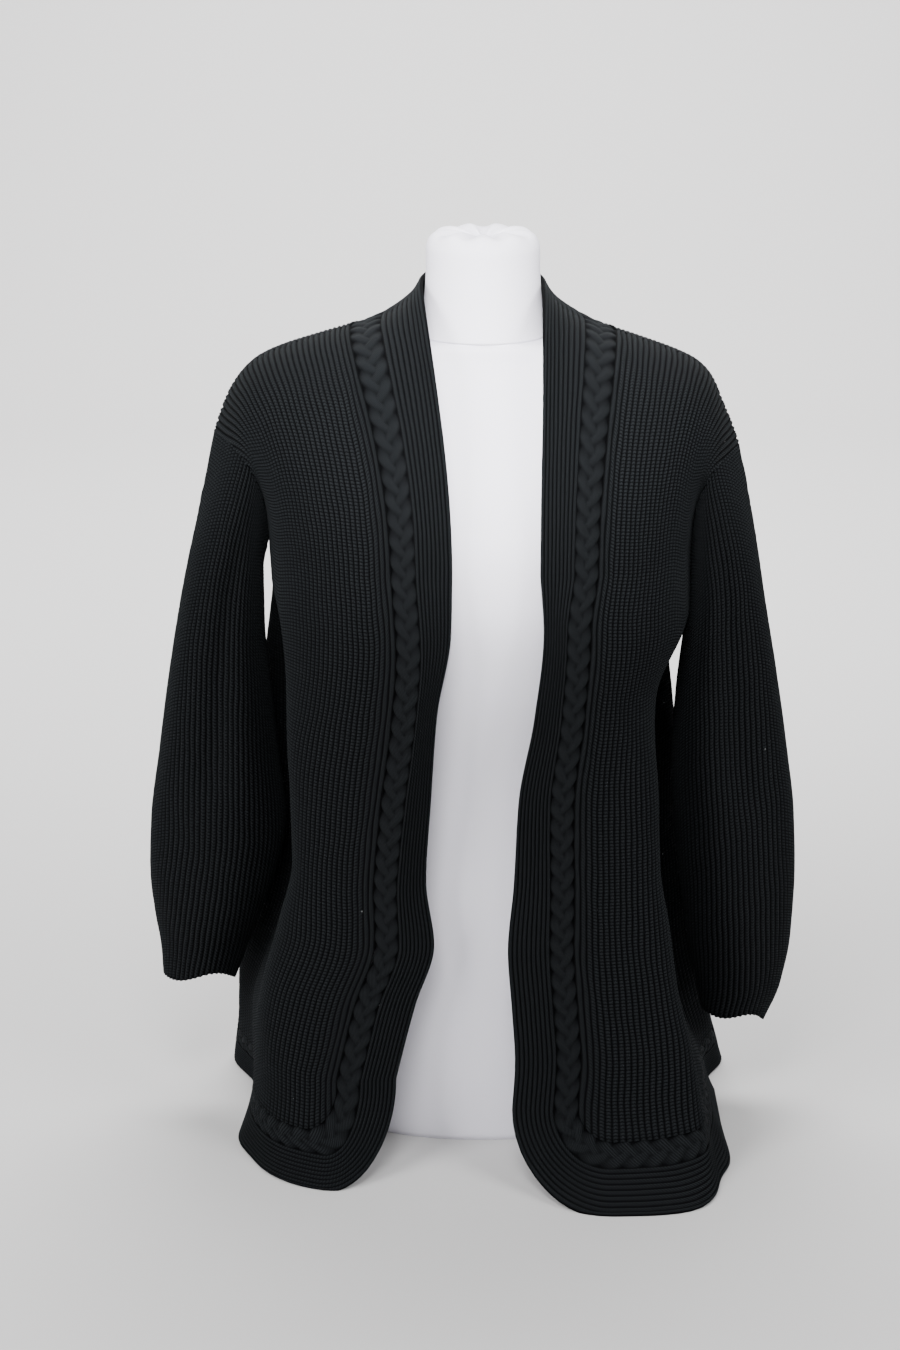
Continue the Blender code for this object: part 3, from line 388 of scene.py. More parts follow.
class HalfCloth:
    """One half of the garment's cloth surface, as functions of places on the cloth.

    The surface is the ribs' crests. Every function takes and returns whole arrays.
    """

    DROP_STEPS = 400
    ANGLE_STEPS = 480
    SHARE_STEPS = 1024
    NORMAL_STEP = 0.002

    def __init__(self, measures: HalfMeasures) -> None:
        """Turns the tables into curves and lays out the body's plan at each drop.

        Args:
            measures: The half's tables.
        """
        self.measures = measures
        self.side = measures.side
        body = named_columns(measures.body, BODY_COLUMNS)
        self.body = {name: Curve(body["drop"], body[name]) for name in BODY_COLUMNS[1:]}
        line = np.array(measures.shoulder)
        steps = np.linalg.norm(np.diff(line, axis=0), axis=1)
        arc = np.concatenate([[0.0], np.cumsum(steps)])
        self.shoulder_out, self.shoulder_height = Curve(arc, line[:, 0]), Curve(arc, line[:, 1])
        self.cable_arc = float(np.interp(CABLE_OUT, line[:, 0], arc))
        self.joint_arc = float(np.interp(JOINT_OUT, line[:, 0], arc))
        self.shoulder_length = float(arc[-1])
        sleeve = named_columns(measures.sleeve, SLEEVE_COLUMNS)
        across = sleeve["inner_height"] + sleeve["outer_height"]
        down = (across[0] - across) / 2
        self.sleeve_length = float(down[-1])
        self.sleeve = {name: Curve(down, column) for name, column in sleeve.items()}
        self._lay_out_plans()

    def _lay_out_plans(self) -> None:
        """Works out the body's plan at evenly spaced drops and shares of its length.

        Each plan is a superellipse with half width and depth from the table, moved
        outwards by its folds, each a bell curve of the angle. It is then measured along
        and read off at even shares.
        """
        drops = np.linspace(0.0, HEM_DROP, self.DROP_STEPS + 1)[:, None]
        angle = np.linspace(0.0, math.pi, self.ANGLE_STEPS + 1)[None, :]
        in_front = angle <= math.pi / 2
        wide = self.body["half_width"].at(drops)
        depth = np.where(in_front, self.body["front"].at(drops), self.body["back"].at(drops))
        power = np.where(in_front, 2 / self.body["squareness"].at(drops), 2 / BACK_SQUARENESS)
        x = wide * np.abs(np.sin(angle)) ** power
        y = -depth * np.sign(np.cos(angle)) * np.abs(np.cos(angle)) ** power
        outward = unit(np.stack([x / wide**2, y / depth**2], axis=-1))
        rise = np.zeros_like(x)
        for fold in self.measures.body_folds:
            turn, spread, start, end, height = fold
            bell = np.exp(-(((np.degrees(angle) - turn) / spread) ** 2))
            rise = rise + height * window(drops, start, end) * bell
        x, y = x + rise * outward[..., 0], y + rise * outward[..., 1]
        x[:, 0] = x[:, -1] = 0.0
        lengths = np.hypot(np.diff(x, axis=1), np.diff(y, axis=1))
        arc = np.concatenate([np.zeros_like(drops), np.cumsum(lengths, axis=1)], axis=1)
        self.drops = drops[:, 0]
        self.girths = arc[:, -1]
        seam_angle = math.pi / 2 + math.radians(SEAM_DRIFT) * eased(self.drops / SEAM_DRIFT_DROP)
        self.seams = np.array([np.interp(s, angle[0], a) for s, a in zip(seam_angle, arc)])
        shares = np.linspace(0.0, 1.0, self.SHARE_STEPS + 1)
        self.plan_x = np.array([np.interp(shares * a[-1], a, row) for a, row in zip(arc, x)])
        self.plan_y = np.array([np.interp(shares * a[-1], a, row) for a, row in zip(arc, y)])

    def side_seam(self, drop: np.ndarray) -> np.ndarray:
        """How far round the section the side seam lies, at each drop."""
        return np.interp(drop, self.drops, self.seams)

    def half_girth(self, drop: np.ndarray) -> np.ndarray:
        """How far round the section the centre back lies, at each drop."""
        return np.interp(drop, self.drops, self.girths)

    def inward(self, offset: np.ndarray, drop: np.ndarray) -> np.ndarray:
        """How far round the section a line lies that runs in from the front edge.

        Args:
            offset: The line's distance in from the edge, on the cloth.
            drop: Distances down the cloth.

        Returns:
            The distance round from the centre front, less what the turned edge hides.
        """
        hidden = (1 - self.body["seen"].at(drop)) * np.minimum(offset, BORDER_WIDTH)
        return self.body["edge"].at(drop) + offset - hidden

    def hang(self, along: np.ndarray, drop: np.ndarray) -> np.ndarray:
        """The cloth below the underarm.

        Args:
            along: Distances round from the centre front.
            drop: Distances down the cloth.

        Returns:
            Points, read off the laid out plans between their nearest four places.
        """
        along, drop = np.broadcast_arrays(np.asarray(along, float), np.asarray(drop, float))
        row = np.clip(drop / HEM_DROP, 0.0, 1.0) * self.DROP_STEPS
        column = np.clip(along / self.half_girth(drop), 0.0, 1.0) * self.SHARE_STEPS
        j = np.minimum(row.astype(int), self.DROP_STEPS - 1)
        i = np.minimum(column.astype(int), self.SHARE_STEPS - 1)
        v, u = row - j, column - i
        x, y = (
            (1 - v) * ((1 - u) * plan[j, i] + u * plan[j, i + 1])
            + v * ((1 - u) * plan[j + 1, i] + u * plan[j + 1, i + 1])
            for plan in (self.plan_x, self.plan_y)
        )
        seen = np.minimum(self.body["seen"].at(drop), 1.0)
        beside = np.maximum(self.inward(BORDER_WIDTH, drop) - along, 0.0)
        y = y + TURN_BACK * np.sqrt(1 - seen**2) / seen * beside
        return np.stack([self.side * x, y, self.body["height"].at(drop)], axis=-1)

    def hang_normals(self, along: np.ndarray, drop: np.ndarray) -> np.ndarray:
        """Normals of the hanging cloth, from short steps round it and down it.

        Pieces that meet there share them, so that their walls meet face to face.

        Args:
            along: Distances round from the centre front.
            drop: Distances down the cloth.

        Returns:
            A unit normal for each point, out of the garment.
        """
        step = self.NORMAL_STEP
        across = self.hang(along + step, drop) - self.hang(np.maximum(along - step, 0.0), drop)
        down = self.hang(along, drop + step) - self.hang(along, drop - step)
        return unit(np.cross(down, across)) * self.side

    def arch(self, along: np.ndarray, arc: np.ndarray, turn: np.ndarray, way: int) -> np.ndarray:
        """The cloth above the underarm row, up to the shoulder line.

        Over a quarter turn the point leaves its foot with the squared cosine sideways
        and the sine upwards, and near the armhole with lower powers of both. Its depth
        is the cosine's power, joined with a bulge that grows towards the armhole.

        Args:
            along: Distances round the underarm row.
            arc: Distances along the shoulder line.
            turn: Shares of the quarter turn.
            way: -1 in front, 1 behind.

        Returns:
            The cloth's points.
        """
        foot = self.hang(along, 0.0)
        angle = turn * math.pi / 2
        cosine = np.maximum(np.cos(angle), 0.0)
        out, height = self.side * self.shoulder_out.at(arc), self.shoulder_height.at(arc)
        arm = eased((arc - self.joint_arc) / (self.shoulder_length - self.joint_arc))
        sideways = cosine ** (2 + (ARMHOLE_SIDEWAYS - 2) * arm)
        upwards = np.sin(angle) ** (1 + (ARMHOLE_UPWARDS - 1) * arm)
        round_arm = np.maximum(np.sin(math.pi * turn), 0.0) ** ARCH_POWER
        reach = np.abs(foot[..., 1]) * cosine**ARCH_POWER
        bulge = ARMHOLE_HALF_DEPTH * round_arm * arm
        full = (reach**FULLNESS_POWER + bulge**FULLNESS_POWER) ** (1 / FULLNESS_POWER)
        x = out + (foot[..., 0] - out) * sideways
        z = foot[..., 2] + (height - foot[..., 2]) * upwards
        return np.stack(np.broadcast_arrays(x, way * full, z), axis=-1)

    def collar(self, arc: np.ndarray, turn: np.ndarray) -> np.ndarray:
        """The strips behind the neck, over a quarter turn from side to centre back.

        Args:
            arc: Distances along the shoulder line, up to the ribs' joint.
            turn: Shares of the quarter turn.

        Returns:
            The cloth's points.
        """
        share = arc / self.joint_arc
        angle = turn * math.pi / 2
        depth = NECK_DEPTHS[0] + (NECK_DEPTHS[1] - NECK_DEPTHS[0]) * share
        target = NECK_HEIGHTS[0] + (NECK_HEIGHTS[1] - NECK_HEIGHTS[0]) * share
        height = self.shoulder_height.at(arc)
        x = self.shoulder_out.at(arc) * np.cos(angle)
        z = height + (target - height) * np.sin(angle)
        return np.stack(np.broadcast_arrays(self.side * x, depth * np.sin(angle), z), axis=-1)

    def neckline_arch(self, along: np.ndarray, neck: np.ndarray, turn: np.ndarray) -> np.ndarray:
        """The back above the underarm row, up to the neckline under the cable.

        Args:
            along: Distances round the underarm row.
            neck: Shares of the way from the shoulder to the centre back.
            turn: Shares of the quarter turn up the arch.

        Returns:
            The cloth's points.
        """
        top = self.collar(np.array(self.joint_arc), neck)
        foot = self.hang(along, 0.0)
        angle = turn * math.pi / 2
        cosine = np.maximum(np.cos(angle), 0.0)
        x = top[..., 0] + (foot[..., 0] - top[..., 0]) * cosine**2
        y = top[..., 1] + (foot[..., 1] - top[..., 1]) * cosine**ARCH_POWER
        z = foot[..., 2] + (top[..., 2] - foot[..., 2]) * np.sin(angle)
        return np.stack(np.broadcast_arrays(x, y, z), axis=-1)

    def armhole(self, angle: np.ndarray) -> np.ndarray:
        """The armhole seam: 0 underarm, a half turn at the top, through the front first."""
        in_front = angle <= math.pi
        turn = np.where(in_front, angle / math.pi, 2 - angle / math.pi)
        point = self.arch(self.side_seam(0.0), self.shoulder_length, turn, 1)
        point[..., 1] *= np.where(in_front, -1, 1)
        return point

    def ring(self, angle: np.ndarray, down: np.ndarray) -> np.ndarray:
        """A plain oval ring of the sleeve: the cosine across it and the sine for its depth.

        Args:
            angle: Turns round the sleeve from its inner edge, front first.
            down: Distances down the sleeve.

        Returns:
            Points of the rings.
        """
        row = {name: curve.at(down) for name, curve in self.sleeve.items()}
        share = (1 - np.cos(angle)) / 2
        x = row["inner"] + (row["outer"] - row["inner"]) * share
        y = row["middle"] - row["half_depth"] * np.sin(angle)
        z = row["inner_height"] + (row["outer_height"] - row["inner_height"]) * share
        return np.stack(np.broadcast_arrays(self.side * x, y, z), axis=-1)

    def arm(self, angle: np.ndarray, down: np.ndarray) -> np.ndarray:
        """The sleeve's cloth: its rings, led smoothly out of the armhole, with its folds.

        Args:
            angle: Turns round the sleeve from its inner edge, front first.
            down: Distances down the sleeve.

        Returns:
            The cloth's points.
        """
        lead = eased(1 - down / SLEEVE_LEAD)[..., None]
        point = self.ring(angle, down)
        point = point + (self.armhole(angle) - self.ring(angle, np.zeros_like(down))) * lead
        middle = (self.ring(np.zeros_like(down), down) + self.ring(down * 0 + math.pi, down)) / 2
        rise = np.zeros(point.shape[:-1])
        for turn, drift, spread, start, end, height in self.measures.sleeve_folds:
            centre = turn + drift * (down - start) / (end - start)
            bell = np.exp(-(((np.degrees(angle) - centre) / spread) ** 2))
            rise = rise + height * window(down, start, end) * bell
        point = point + unit(point - middle) * rise[..., None]
        low = np.maximum(down / self.sleeve_length - CUFF_SHARE, 0.0) / (1 - CUFF_SHARE)
        wave = CUFF_WAVE * np.sin(CUFF_WAVES * angle + self.side)
        point[..., 2] += low * (wave - CUFF_PINCH * np.cos(2 * angle))
        return point

    def outline(self, offset: float, share: np.ndarray) -> tuple[np.ndarray, np.ndarray]:
        """A line parallel to the front's edge, along the hem and round its corner.

        Args:
            offset: The line's distance in from the edge.
            share: 0 to 1 along the hem from the side seam, 1 to 2 round the corner.

        Returns:
            Distances round the section, and drops.
        """
        corner_along = max(self.measures.corner[0] - offset, LEAST_CORNER)
        corner_drop = max(self.measures.corner[1] - offset, LEAST_CORNER)
        bottom = HEM_DROP - offset
        start = self.inward(offset, bottom - corner_drop)
        seam = self.side_seam(bottom)
        turn = np.clip(share - 1, 0.0, 1.0)
        angle = (turn * math.pi / 2 + np.arcsin(turn)) / 2
        hem = seam + (start + corner_along - seam) * share
        corner = start + corner_along * (1 - np.sin(angle))
        drop = bottom - corner_drop * (1 - np.cos(angle))
        return np.where(share <= 1, hem, corner), drop

    def corner_top(self, offset: float) -> float:
        """The drop at which a line parallel to the edge leaves its corner."""
        return float(self.outline(offset, np.array(2.0))[1])


def grid_normals(points: np.ndarray, outward: int, closed: bool) -> np.ndarray:
    """Normals of a grid of points: the cross product of its two directions.

    Args:
        points: Rows, columns and x, y, z.
        outward: 1 or -1, so that the normals point out of the garment.
        closed: Whether the last column is followed by the first.

    Returns:
        A unit normal for each point.
    """
    if closed:
        across = np.roll(points, -1, axis=1) - np.roll(points, 1, axis=1)
    else:
        across = np.gradient(points, axis=1)
    return unit(np.cross(across, np.gradient(points, axis=0))) * outward


def run_along(points: np.ndarray, axis: int) -> np.ndarray:
    """Distances along a grid's lines: the running sum of the steps from point to point.

    Args:
        points: Rows, columns and x, y, z.
        axis: 0 to measure up the columns, 1 along the rows.

    Returns:
        A distance for each point, from 0 at the first.
    """
    steps = np.linalg.norm(np.diff(points, axis=axis), axis=-1)
    return np.insert(np.cumsum(steps, axis=axis), 0, 0.0, axis=axis)


def rib_relief(phase: np.ndarray) -> np.ndarray:
    """How far ribs lie under their crests: the squared sine of half a turn per rib."""
    return np.sin(math.pi * phase) ** 2


def rib_count(width: np.ndarray, narrow: float) -> np.ndarray:
    """How many ribs a width of the body's cloth has.

    Args:
        width: The cloth's widths.
        narrow: Its width at the underarm, where the ribs are at their closest.

    Returns:
        The width over the pitch there, which grows as a power of the width.
    """
    return width / (BODY_PITCH * (width / narrow) ** PITCH_STRETCH)


def wander(along: np.ndarray, run: np.ndarray, seed: int) -> np.ndarray:
    """A slow unevenness of hand-fed yarn, between about -1 and 1.

    It is the mean of three sine waves whose lengths and turns come from the seed.

    Args:
        along: Distances across the ribs.
        run: Distances along them.
        seed: A whole number for each piece.

    Returns:
        The unevenness at each place.
    """
    rng = np.random.default_rng(seed)
    total = np.zeros(np.broadcast(along, run).shape)
    for length in WANDER_LENGTHS:
        tilt, phase = rng.uniform(0.3, 1.0), rng.uniform(0, 2 * math.pi)
        total = total + np.sin(2 * math.pi * (run + tilt * along) / length + phase)
    return total / len(WANDER_LENGTHS)


def arch_turns(steps: int) -> np.ndarray:
    """Shares of the quarter turn up an arch, one row each and without its foot.

    Args:
        steps: How many rows.

    Returns:
        One less the power of what is left of an even share, in a column.
    """
    return (1 - (1 - np.linspace(0.0, 1.0, steps + 1)) ** TURN_POWER)[1:, None]


@dataclass
class KnitGrid:
    """A piece of knitting as a grid: its crest surface and what is cut into it.

    relief is how far each point lies under the crest, across the rib that it is on with
    crests at whole numbers, run the distance along that rib, and valley 1 in a groove
    that is no rib's, where the finish paints shade. hung_normals are the known normals
    of the first rows, and flat_top the columns whose last row's normals lie in the
    shoulder seam's plane.
    """

    points: np.ndarray
    relief: np.ndarray
    across: np.ndarray
    run: np.ndarray
    valley_painted_shade: np.ndarray
    outward: int
    closed: bool = False
    inner_every: tuple[int, int] = (4, 3)
    hung_normals: np.ndarray | None = None
    flat_top: np.ndarray | None = None

    def _normals(self) -> np.ndarray:
        """The surface's normals, with those of the seams made equal on both sides.

        Returns:
            A unit normal for each point.
        """
        normals = grid_normals(self.points, self.outward, self.closed)
        if self.hung_normals is not None:
            normals[: len(self.hung_normals)] = self.hung_normals
        if self.flat_top is not None:
            normals[-1, self.flat_top, 1] = 0.0
            normals[-1] = unit(normals[-1])
        return normals

    def build(self, name: str) -> bpy.types.Object:
        """Makes the closed wall between the knitted face and the plain inner face.

        The outer face is the surface less the relief, and the inner face the surface less
        the cloth's thickness, with fewer rows. Cloth over the floor is lifted so that its
        inner face rests on it.

        Args:
            name: The object's name.

        Returns:
            The linked object, with the layers that the finish reads.
        """
        normals = self._normals()
        lift = np.maximum(CLOTH * normals[..., 2] - self.points[..., 2], 0.0)
        points = self.points.copy()
        points[..., 2] += lift
        outer = points - normals * self.relief[..., None]
        count, wide = outer.shape[:2]
        rows = np.unique(np.append(np.arange(0, count, self.inner_every[0]), count - 1))
        columns = np.arange(0, wide, self.inner_every[1])
        if not self.closed:
            columns = np.unique(np.append(columns, wide - 1))
        kept = np.ix_(rows, columns)
        inner = points[kept] - normals[kept] * CLOTH
        faces = wall_faces((count, wide), rows, columns, self.closed)
        corners = np.concatenate([outer.reshape(-1, 3), inner.reshape(-1, 3)])
        made = mesh_object(name, corners, faces)
        layers = {"rib_place": self.across, "run_place": self.run, "valley_painted_shade": self.valley_painted_shade}
        layers = {
            layer: np.concatenate([values.ravel(), values[kept].ravel()])
            for layer, values in layers.items()
        }
        for layer, values in layers.items():
            attribute = made.data.attributes.new(layer, "FLOAT", "POINT")
            attribute.data.foreach_set("value", values.astype(np.float32))
        return made


def wall_faces(shape: tuple[int, int], rows: np.ndarray, columns: np.ndarray,
               closed: bool) -> list[list[int]]:
    """Corner numbers of a wall's faces: outer quads, inner quads and the rims.

    Args:
        shape: Rows and columns of the outer grid, whose points come first.
        rows: The outer rows that the inner grid has, first and last among them.
        columns: The outer columns that it has, first and last too unless closed.
        closed: Whether the last column is followed by the first.

    Returns:
        A list of corners for each face.
    """
    count, wide = shape
    outer = np.arange(count * wide).reshape(shape)
    inner = count * wide + np.arange(len(rows) * len(columns)).reshape(len(rows), len(columns))
    if closed:
        outer, inner = (np.concatenate([grid, grid[:, :1]], axis=1) for grid in (outer, inner))
        columns = np.append(columns, wide)

    def quads(grid: np.ndarray, order: Sequence[int]) -> list[list[int]]:
        """The grid's cells as four corners each, in one sense or the other.

        Args:
            grid: The points' numbers in rows and columns.
            order: The order in which the four corners are taken.

        Returns:
            Four corner numbers for each cell.
        """
        corners = grid[:-1, :-1], grid[:-1, 1:], grid[1:, 1:], grid[1:, :-1]
        return np.stack([corners[k] for k in order], axis=-1).reshape(-1, 4).tolist()

    def rim(fine: np.ndarray, coarse: np.ndarray, places: np.ndarray, sense: int) -> list:
        """Faces from a line of outer points to the inner line, which has fewer.

        Args:
            fine: The outer line's point numbers.
            coarse: The inner line's.
            places: Where on the outer line each inner point belongs.
            sense: 1, or -1 to turn the faces over.

        Returns:
            A list of corner numbers for each face.
        """
        return [
            [*fine[low : high + 1].tolist(), int(coarse[j + 1]), int(coarse[j])][::sense]
            for j, (low, high) in enumerate(zip(places[:-1], places[1:]))
        ]

    faces = quads(outer, (0, 1, 2, 3)) + quads(inner, (3, 2, 1, 0))
    faces += rim(outer[0], inner[0], columns, -1) + rim(outer[-1], inner[-1], columns, 1)
    if not closed:
        faces += rim(outer[:, 0], inner[:, 0], rows, 1) + rim(outer[:, -1], inner[:, -1], rows, -1)
    return faces


def mesh_object(name: str, points: np.ndarray, faces: list[list[int]]) -> bpy.types.Object:
    """Makes a smooth mesh object whose faces point outwards.

    Args:
        name: The object's name.
        points: Corners, in a row for each.
        faces: A list of corner numbers for each face.

    Returns:
        The object, linked to the scene.
    """
    mesh = bpy.data.meshes.new(name)
    mesh.from_pydata(points, [], faces)
    mesh.update()
    made = bpy.data.objects.new(name, mesh)
    bpy.context.scene.collection.objects.link(made)
    if signed_volume(mesh) < 0:
        mesh.flip_normals()
    mesh.shade_smooth()
    return made


def signed_volume(mesh: bpy.types.Mesh) -> float:
    """The mesh's volume, a sum over its triangles.

    Args:
        mesh: A closed mesh.

    Returns:
        The volume, negative if the mesh is inside out.
    """
    mesh.calc_loop_triangles()
    corners = np.empty(len(mesh.loop_triangles) * 3, np.int32)
    mesh.loop_triangles.foreach_get("vertices", corners)
    points = np.empty(len(mesh.vertices) * 3)
    mesh.vertices.foreach_get("co", points)
    a, b, c = points.reshape(-1, 3)[corners.reshape(-1, 3)].transpose(1, 0, 2)
    return float(np.einsum("ij,ij->", a, np.cross(b, c)) / 6)


class Rests(Enum):
    """How a piece of cloth is held."""

    HUNG = "hung"


class ClothPiece:
    """A cut and sewn piece of the cardigan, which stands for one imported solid."""

    def __init__(self, node: str, rests: Rests, rests_on: list[str]) -> None:
        """Keeps what the piece stands for and how it is held.

        Args:
            node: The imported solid's name.
            rests: How the piece is held.
            rests_on: What it hangs from or lies on.
        """
        self.node, self.rests, self.rests_on = node, rests, rests_on

    def grid(self) -> KnitGrid:
        """The piece's knitting, which each kind of piece lays out for itself."""
        raise NotImplementedError

    def cut(self, grid: KnitGrid) -> tuple[float, float, float]:
        """Measures the piece as it would lie flat, before it was sewn.

        Args:
            grid: The piece's knitting.

        Returns:
            The longest lines of the grid across and along the piece, in metres, and the
            sum of its cells, in square metres.
        """
        points = grid.points
        width = float(run_along(points, 1)[:, -1].max())
        length = float(run_along(points, 0)[-1].max())
        sides = points[1:, 1:] - points[:-1, :-1], points[1:, :-1] - points[:-1, 1:]
        area = float(np.linalg.norm(np.cross(*sides), axis=-1).sum() / 2)
        return width, length, area

    def build(self, material: bpy.types.Material) -> bpy.types.Object:
        """Args:
            material: The knit's finish.

        Returns:
            The finished object.
        """
        grid = self.grid()
        made = grid.build(f"{self.node}_knit")
        made.data.materials.append(material)
        width, length, area = self.cut(grid)
        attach(made, "root")
        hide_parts(self.node)
        logging.info(
            "%s: flat %.0f by %.0f mm, %.4f square metres, %d faces",
            made.name, width * 1000, length * 1000, area, len(made.data.polygons),
        )
        return made


@dataclass
class PanelRows:
    """How finely the body's panels are laid out, in metres."""

    cell: float = 0.00085
    back_cell: float = 0.0012
    row_step: float = 0.0055
    back_row_step: float = 0.0075
    yoke_step: float = 0.0026


class FrontPanel(ClothPiece):
    """The ribbed front, from the joint with the cable to the side seam and armhole.

    The arch of the chest is about this many times as long as it rises, and the corner's
    curve this many times as long as its radius, which settles their counts of cells.
    """

    ARCH_TO_RISE = 1.4
    CORNER_TO_RADIUS = 1.2

    def __init__(self, half: HalfCloth, rows: PanelRows) -> None:
        """Names the piece after its side.

        Args:
            half: The half of the garment that it is cut for.
            rows: How finely it is laid out.
        """
        super().__init__(f"front_{half.measures.word}", Rests.HUNG, ["form_torso_jersey"])
        self.half, self.rows = half, rows

    def grid(self) -> KnitGrid:
        """Ribs that run up beside the cable from the curved lower edge.

        A column of the grid keeps its share of the way from the cable to the side seam
        up to the underarm row, and above it runs up its own arch to the same share of
        the shoulder line. The ribs are counted from the cable, so the outer ones end at
        the side seam and, where the count falls to the shoulder's, at the armhole.

        Returns:
            The panel's knitting.
        """
        half, offset = self.half, JOINT
        joint_top = half.corner_top(offset)

        def start(drop: np.ndarray) -> np.ndarray:
            """Where the ribs start, which is straight up from the corner's top."""
            return half.inward(offset, np.minimum(drop, joint_top))

        def width(drop: np.ndarray) -> np.ndarray:
            """How wide the panel is at a drop."""
            return half.side_seam(drop) - start(drop)

        hem_width, narrow = float(width(HEM_DROP - offset)), float(width(0.0))
        corner = LEAST_CORNER + max(half.measures.corner[0] - offset - LEAST_CORNER, 0.0)
        corner_cells = round(self.CORNER_TO_RADIUS * corner / self.rows.cell)
        hem_cells = round((hem_width - corner) / self.rows.cell)
        share = np.concatenate([
            np.linspace(2.0, 1.0, corner_cells + 1)[:-1], np.linspace(1.0, 0.0, hem_cells + 1),
        ])
        low_along, low_drop = half.outline(offset, share)
        place = (low_along - start(low_drop)) / width(low_drop)
        climb = np.linspace(0.0, 1.0, round(joint_top / self.rows.row_step) + 1)[:, None]
        drop = low_drop * (1 - climb)
        low_places = start(drop) + width(drop) * place
        lower = half.hang(low_places, drop)
        rise = half.shoulder_height.at(half.joint_arc) - half.body["height"].at(0.0)
        steps = round(self.ARCH_TO_RISE * rise / self.rows.yoke_step)
        turn = arch_turns(steps)
        arc = half.joint_arc + (half.shoulder_length - half.joint_arc) * place
        upper = half.arch(start(0.0) + narrow * place, arc,
                          np.broadcast_to(turn, (steps, len(place))), -1)
        points = np.concatenate([lower, upper])
        count = narrow / BODY_PITCH
        ended = count - (half.shoulder_length - half.joint_arc) / SHOULDER_PITCH
        yoke = place * count - place**ENDING_POWER * ended * (1 - (1 - turn) ** 2)
        lean = HEM_LEAN * eased(drop / HEM_LEAN_DROP - 2) * place**2
        ribs = np.concatenate([place * rib_count(width(drop), narrow) - lean, yoke])
        run = run_along(points, 0)
        across = ribs + 0.5 + WANDER * wander(place * hem_width, run, FRONT_SEED + half.side)
        return KnitGrid(
            points, RIB_RELIEF * rib_relief(across), across, run, np.zeros_like(run), half.side,
            hung_normals=half.hang_normals(low_places, drop), flat_top=np.arange(len(place)),
        )


class BackPanel(ClothPiece):
    """The ribbed back, from one side seam to the other.

    Its shoulder takes this share of each half's width, and its arch is about this long.
    """

    SHOULDER_SHARE = 28 / 38
    ARCH_LENGTH = 0.30

    def __init__(self, right: HalfCloth, left: HalfCloth, rows: PanelRows) -> None:
        """Takes both halves.

        Args:
            right: The wearer's right half.
            left: The wearer's left half.
            rows: How finely it is laid out.
        """
        super().__init__("back", Rests.HUNG, ["form_torso_jersey"])
        self.halves, self.rows = (right, left), rows

    def grid(self) -> KnitGrid:
        """Ribs counted from the centre back, up to the shoulders and the neckline.

        Returns:
            The panel's knitting.
        """
        girth = max(float(half.half_girth(HEM_DROP) - half.side_seam(HEM_DROP))
                    for half in self.halves)
        place = np.linspace(0.0, 1.0, round(girth / self.rows.back_cell) + 1)
        drop = np.linspace(HEM_DROP, 0.0, round(HEM_DROP / self.rows.back_row_step) + 1)[:, None]
        steps = round(self.ARCH_LENGTH / self.rows.row_step)
        turn = np.broadcast_to(arch_turns(steps), (steps, len(place)))
        neck = (place - self.SHOULDER_SHARE) / (1 - self.SHOULDER_SHARE)
        sheets, normals, counts = [], [], []
        for half in self.halves:
            start = half.side_seam(drop)
            width = half.half_girth(drop) - start
            lower = half.hang(start + width * place, drop)
            normals.append(half.hang_normals(start + width * place, drop))
            joint = half.joint_arc
            arc = joint + (half.shoulder_length - joint) * (1 - place / self.SHOULDER_SHARE)
            along = (start + width * place)[-1]
            shoulder = half.arch(along, np.maximum(arc, joint), turn, 1)
            neckline = half.neckline_arch(along, np.clip(neck, 0.0, 1.0), turn)
            upper = np.where((neck > 0)[None, :, None], neckline, shoulder)
            sheets.append(np.concatenate([lower, upper]))
            count = rib_count(width, float(width[-1, 0]))
            count = np.concatenate([count, np.repeat(count[-1:], steps, axis=0)])
            counts.append((1 - place) * count * half.side)
        points, normals, across = (
            np.concatenate([right, left[:, -2::-1]], axis=1)
            for right, left in (sheets, normals, counts)
        )
        middle = len(place) - 1
        points[:, middle, 0] = 0.0
        run = run_along(points, 0)
        both = np.concatenate([place, 2 - place[-2::-1]]) * girth
        across = across + WANDER * wander(both, run, BACK_SEED)
        on_shoulder = np.flatnonzero(neck <= 0)
        flat_top = np.concatenate([on_shoulder, 2 * middle - on_shoulder])
        return KnitGrid(points, RIB_RELIEF * rib_relief(across), across, run, np.zeros_like(run),
                        -1, hung_normals=normals, flat_top=flat_top)


@dataclass
class SleeveRows:
    """How finely a sleeve is laid out, and how its ribs draw in, in metres.

    crowding is the power by which its rows lie closer together near the armhole, and
    seam_hush the width beside the seam over which its ribs sink in, with painted shade.
    """

    cells_round: int = 420
    crowding: float = 1.1
    row_step: float = 0.0045
    cuff_pitch: float = 0.0055
    seam_hush: float = 0.004


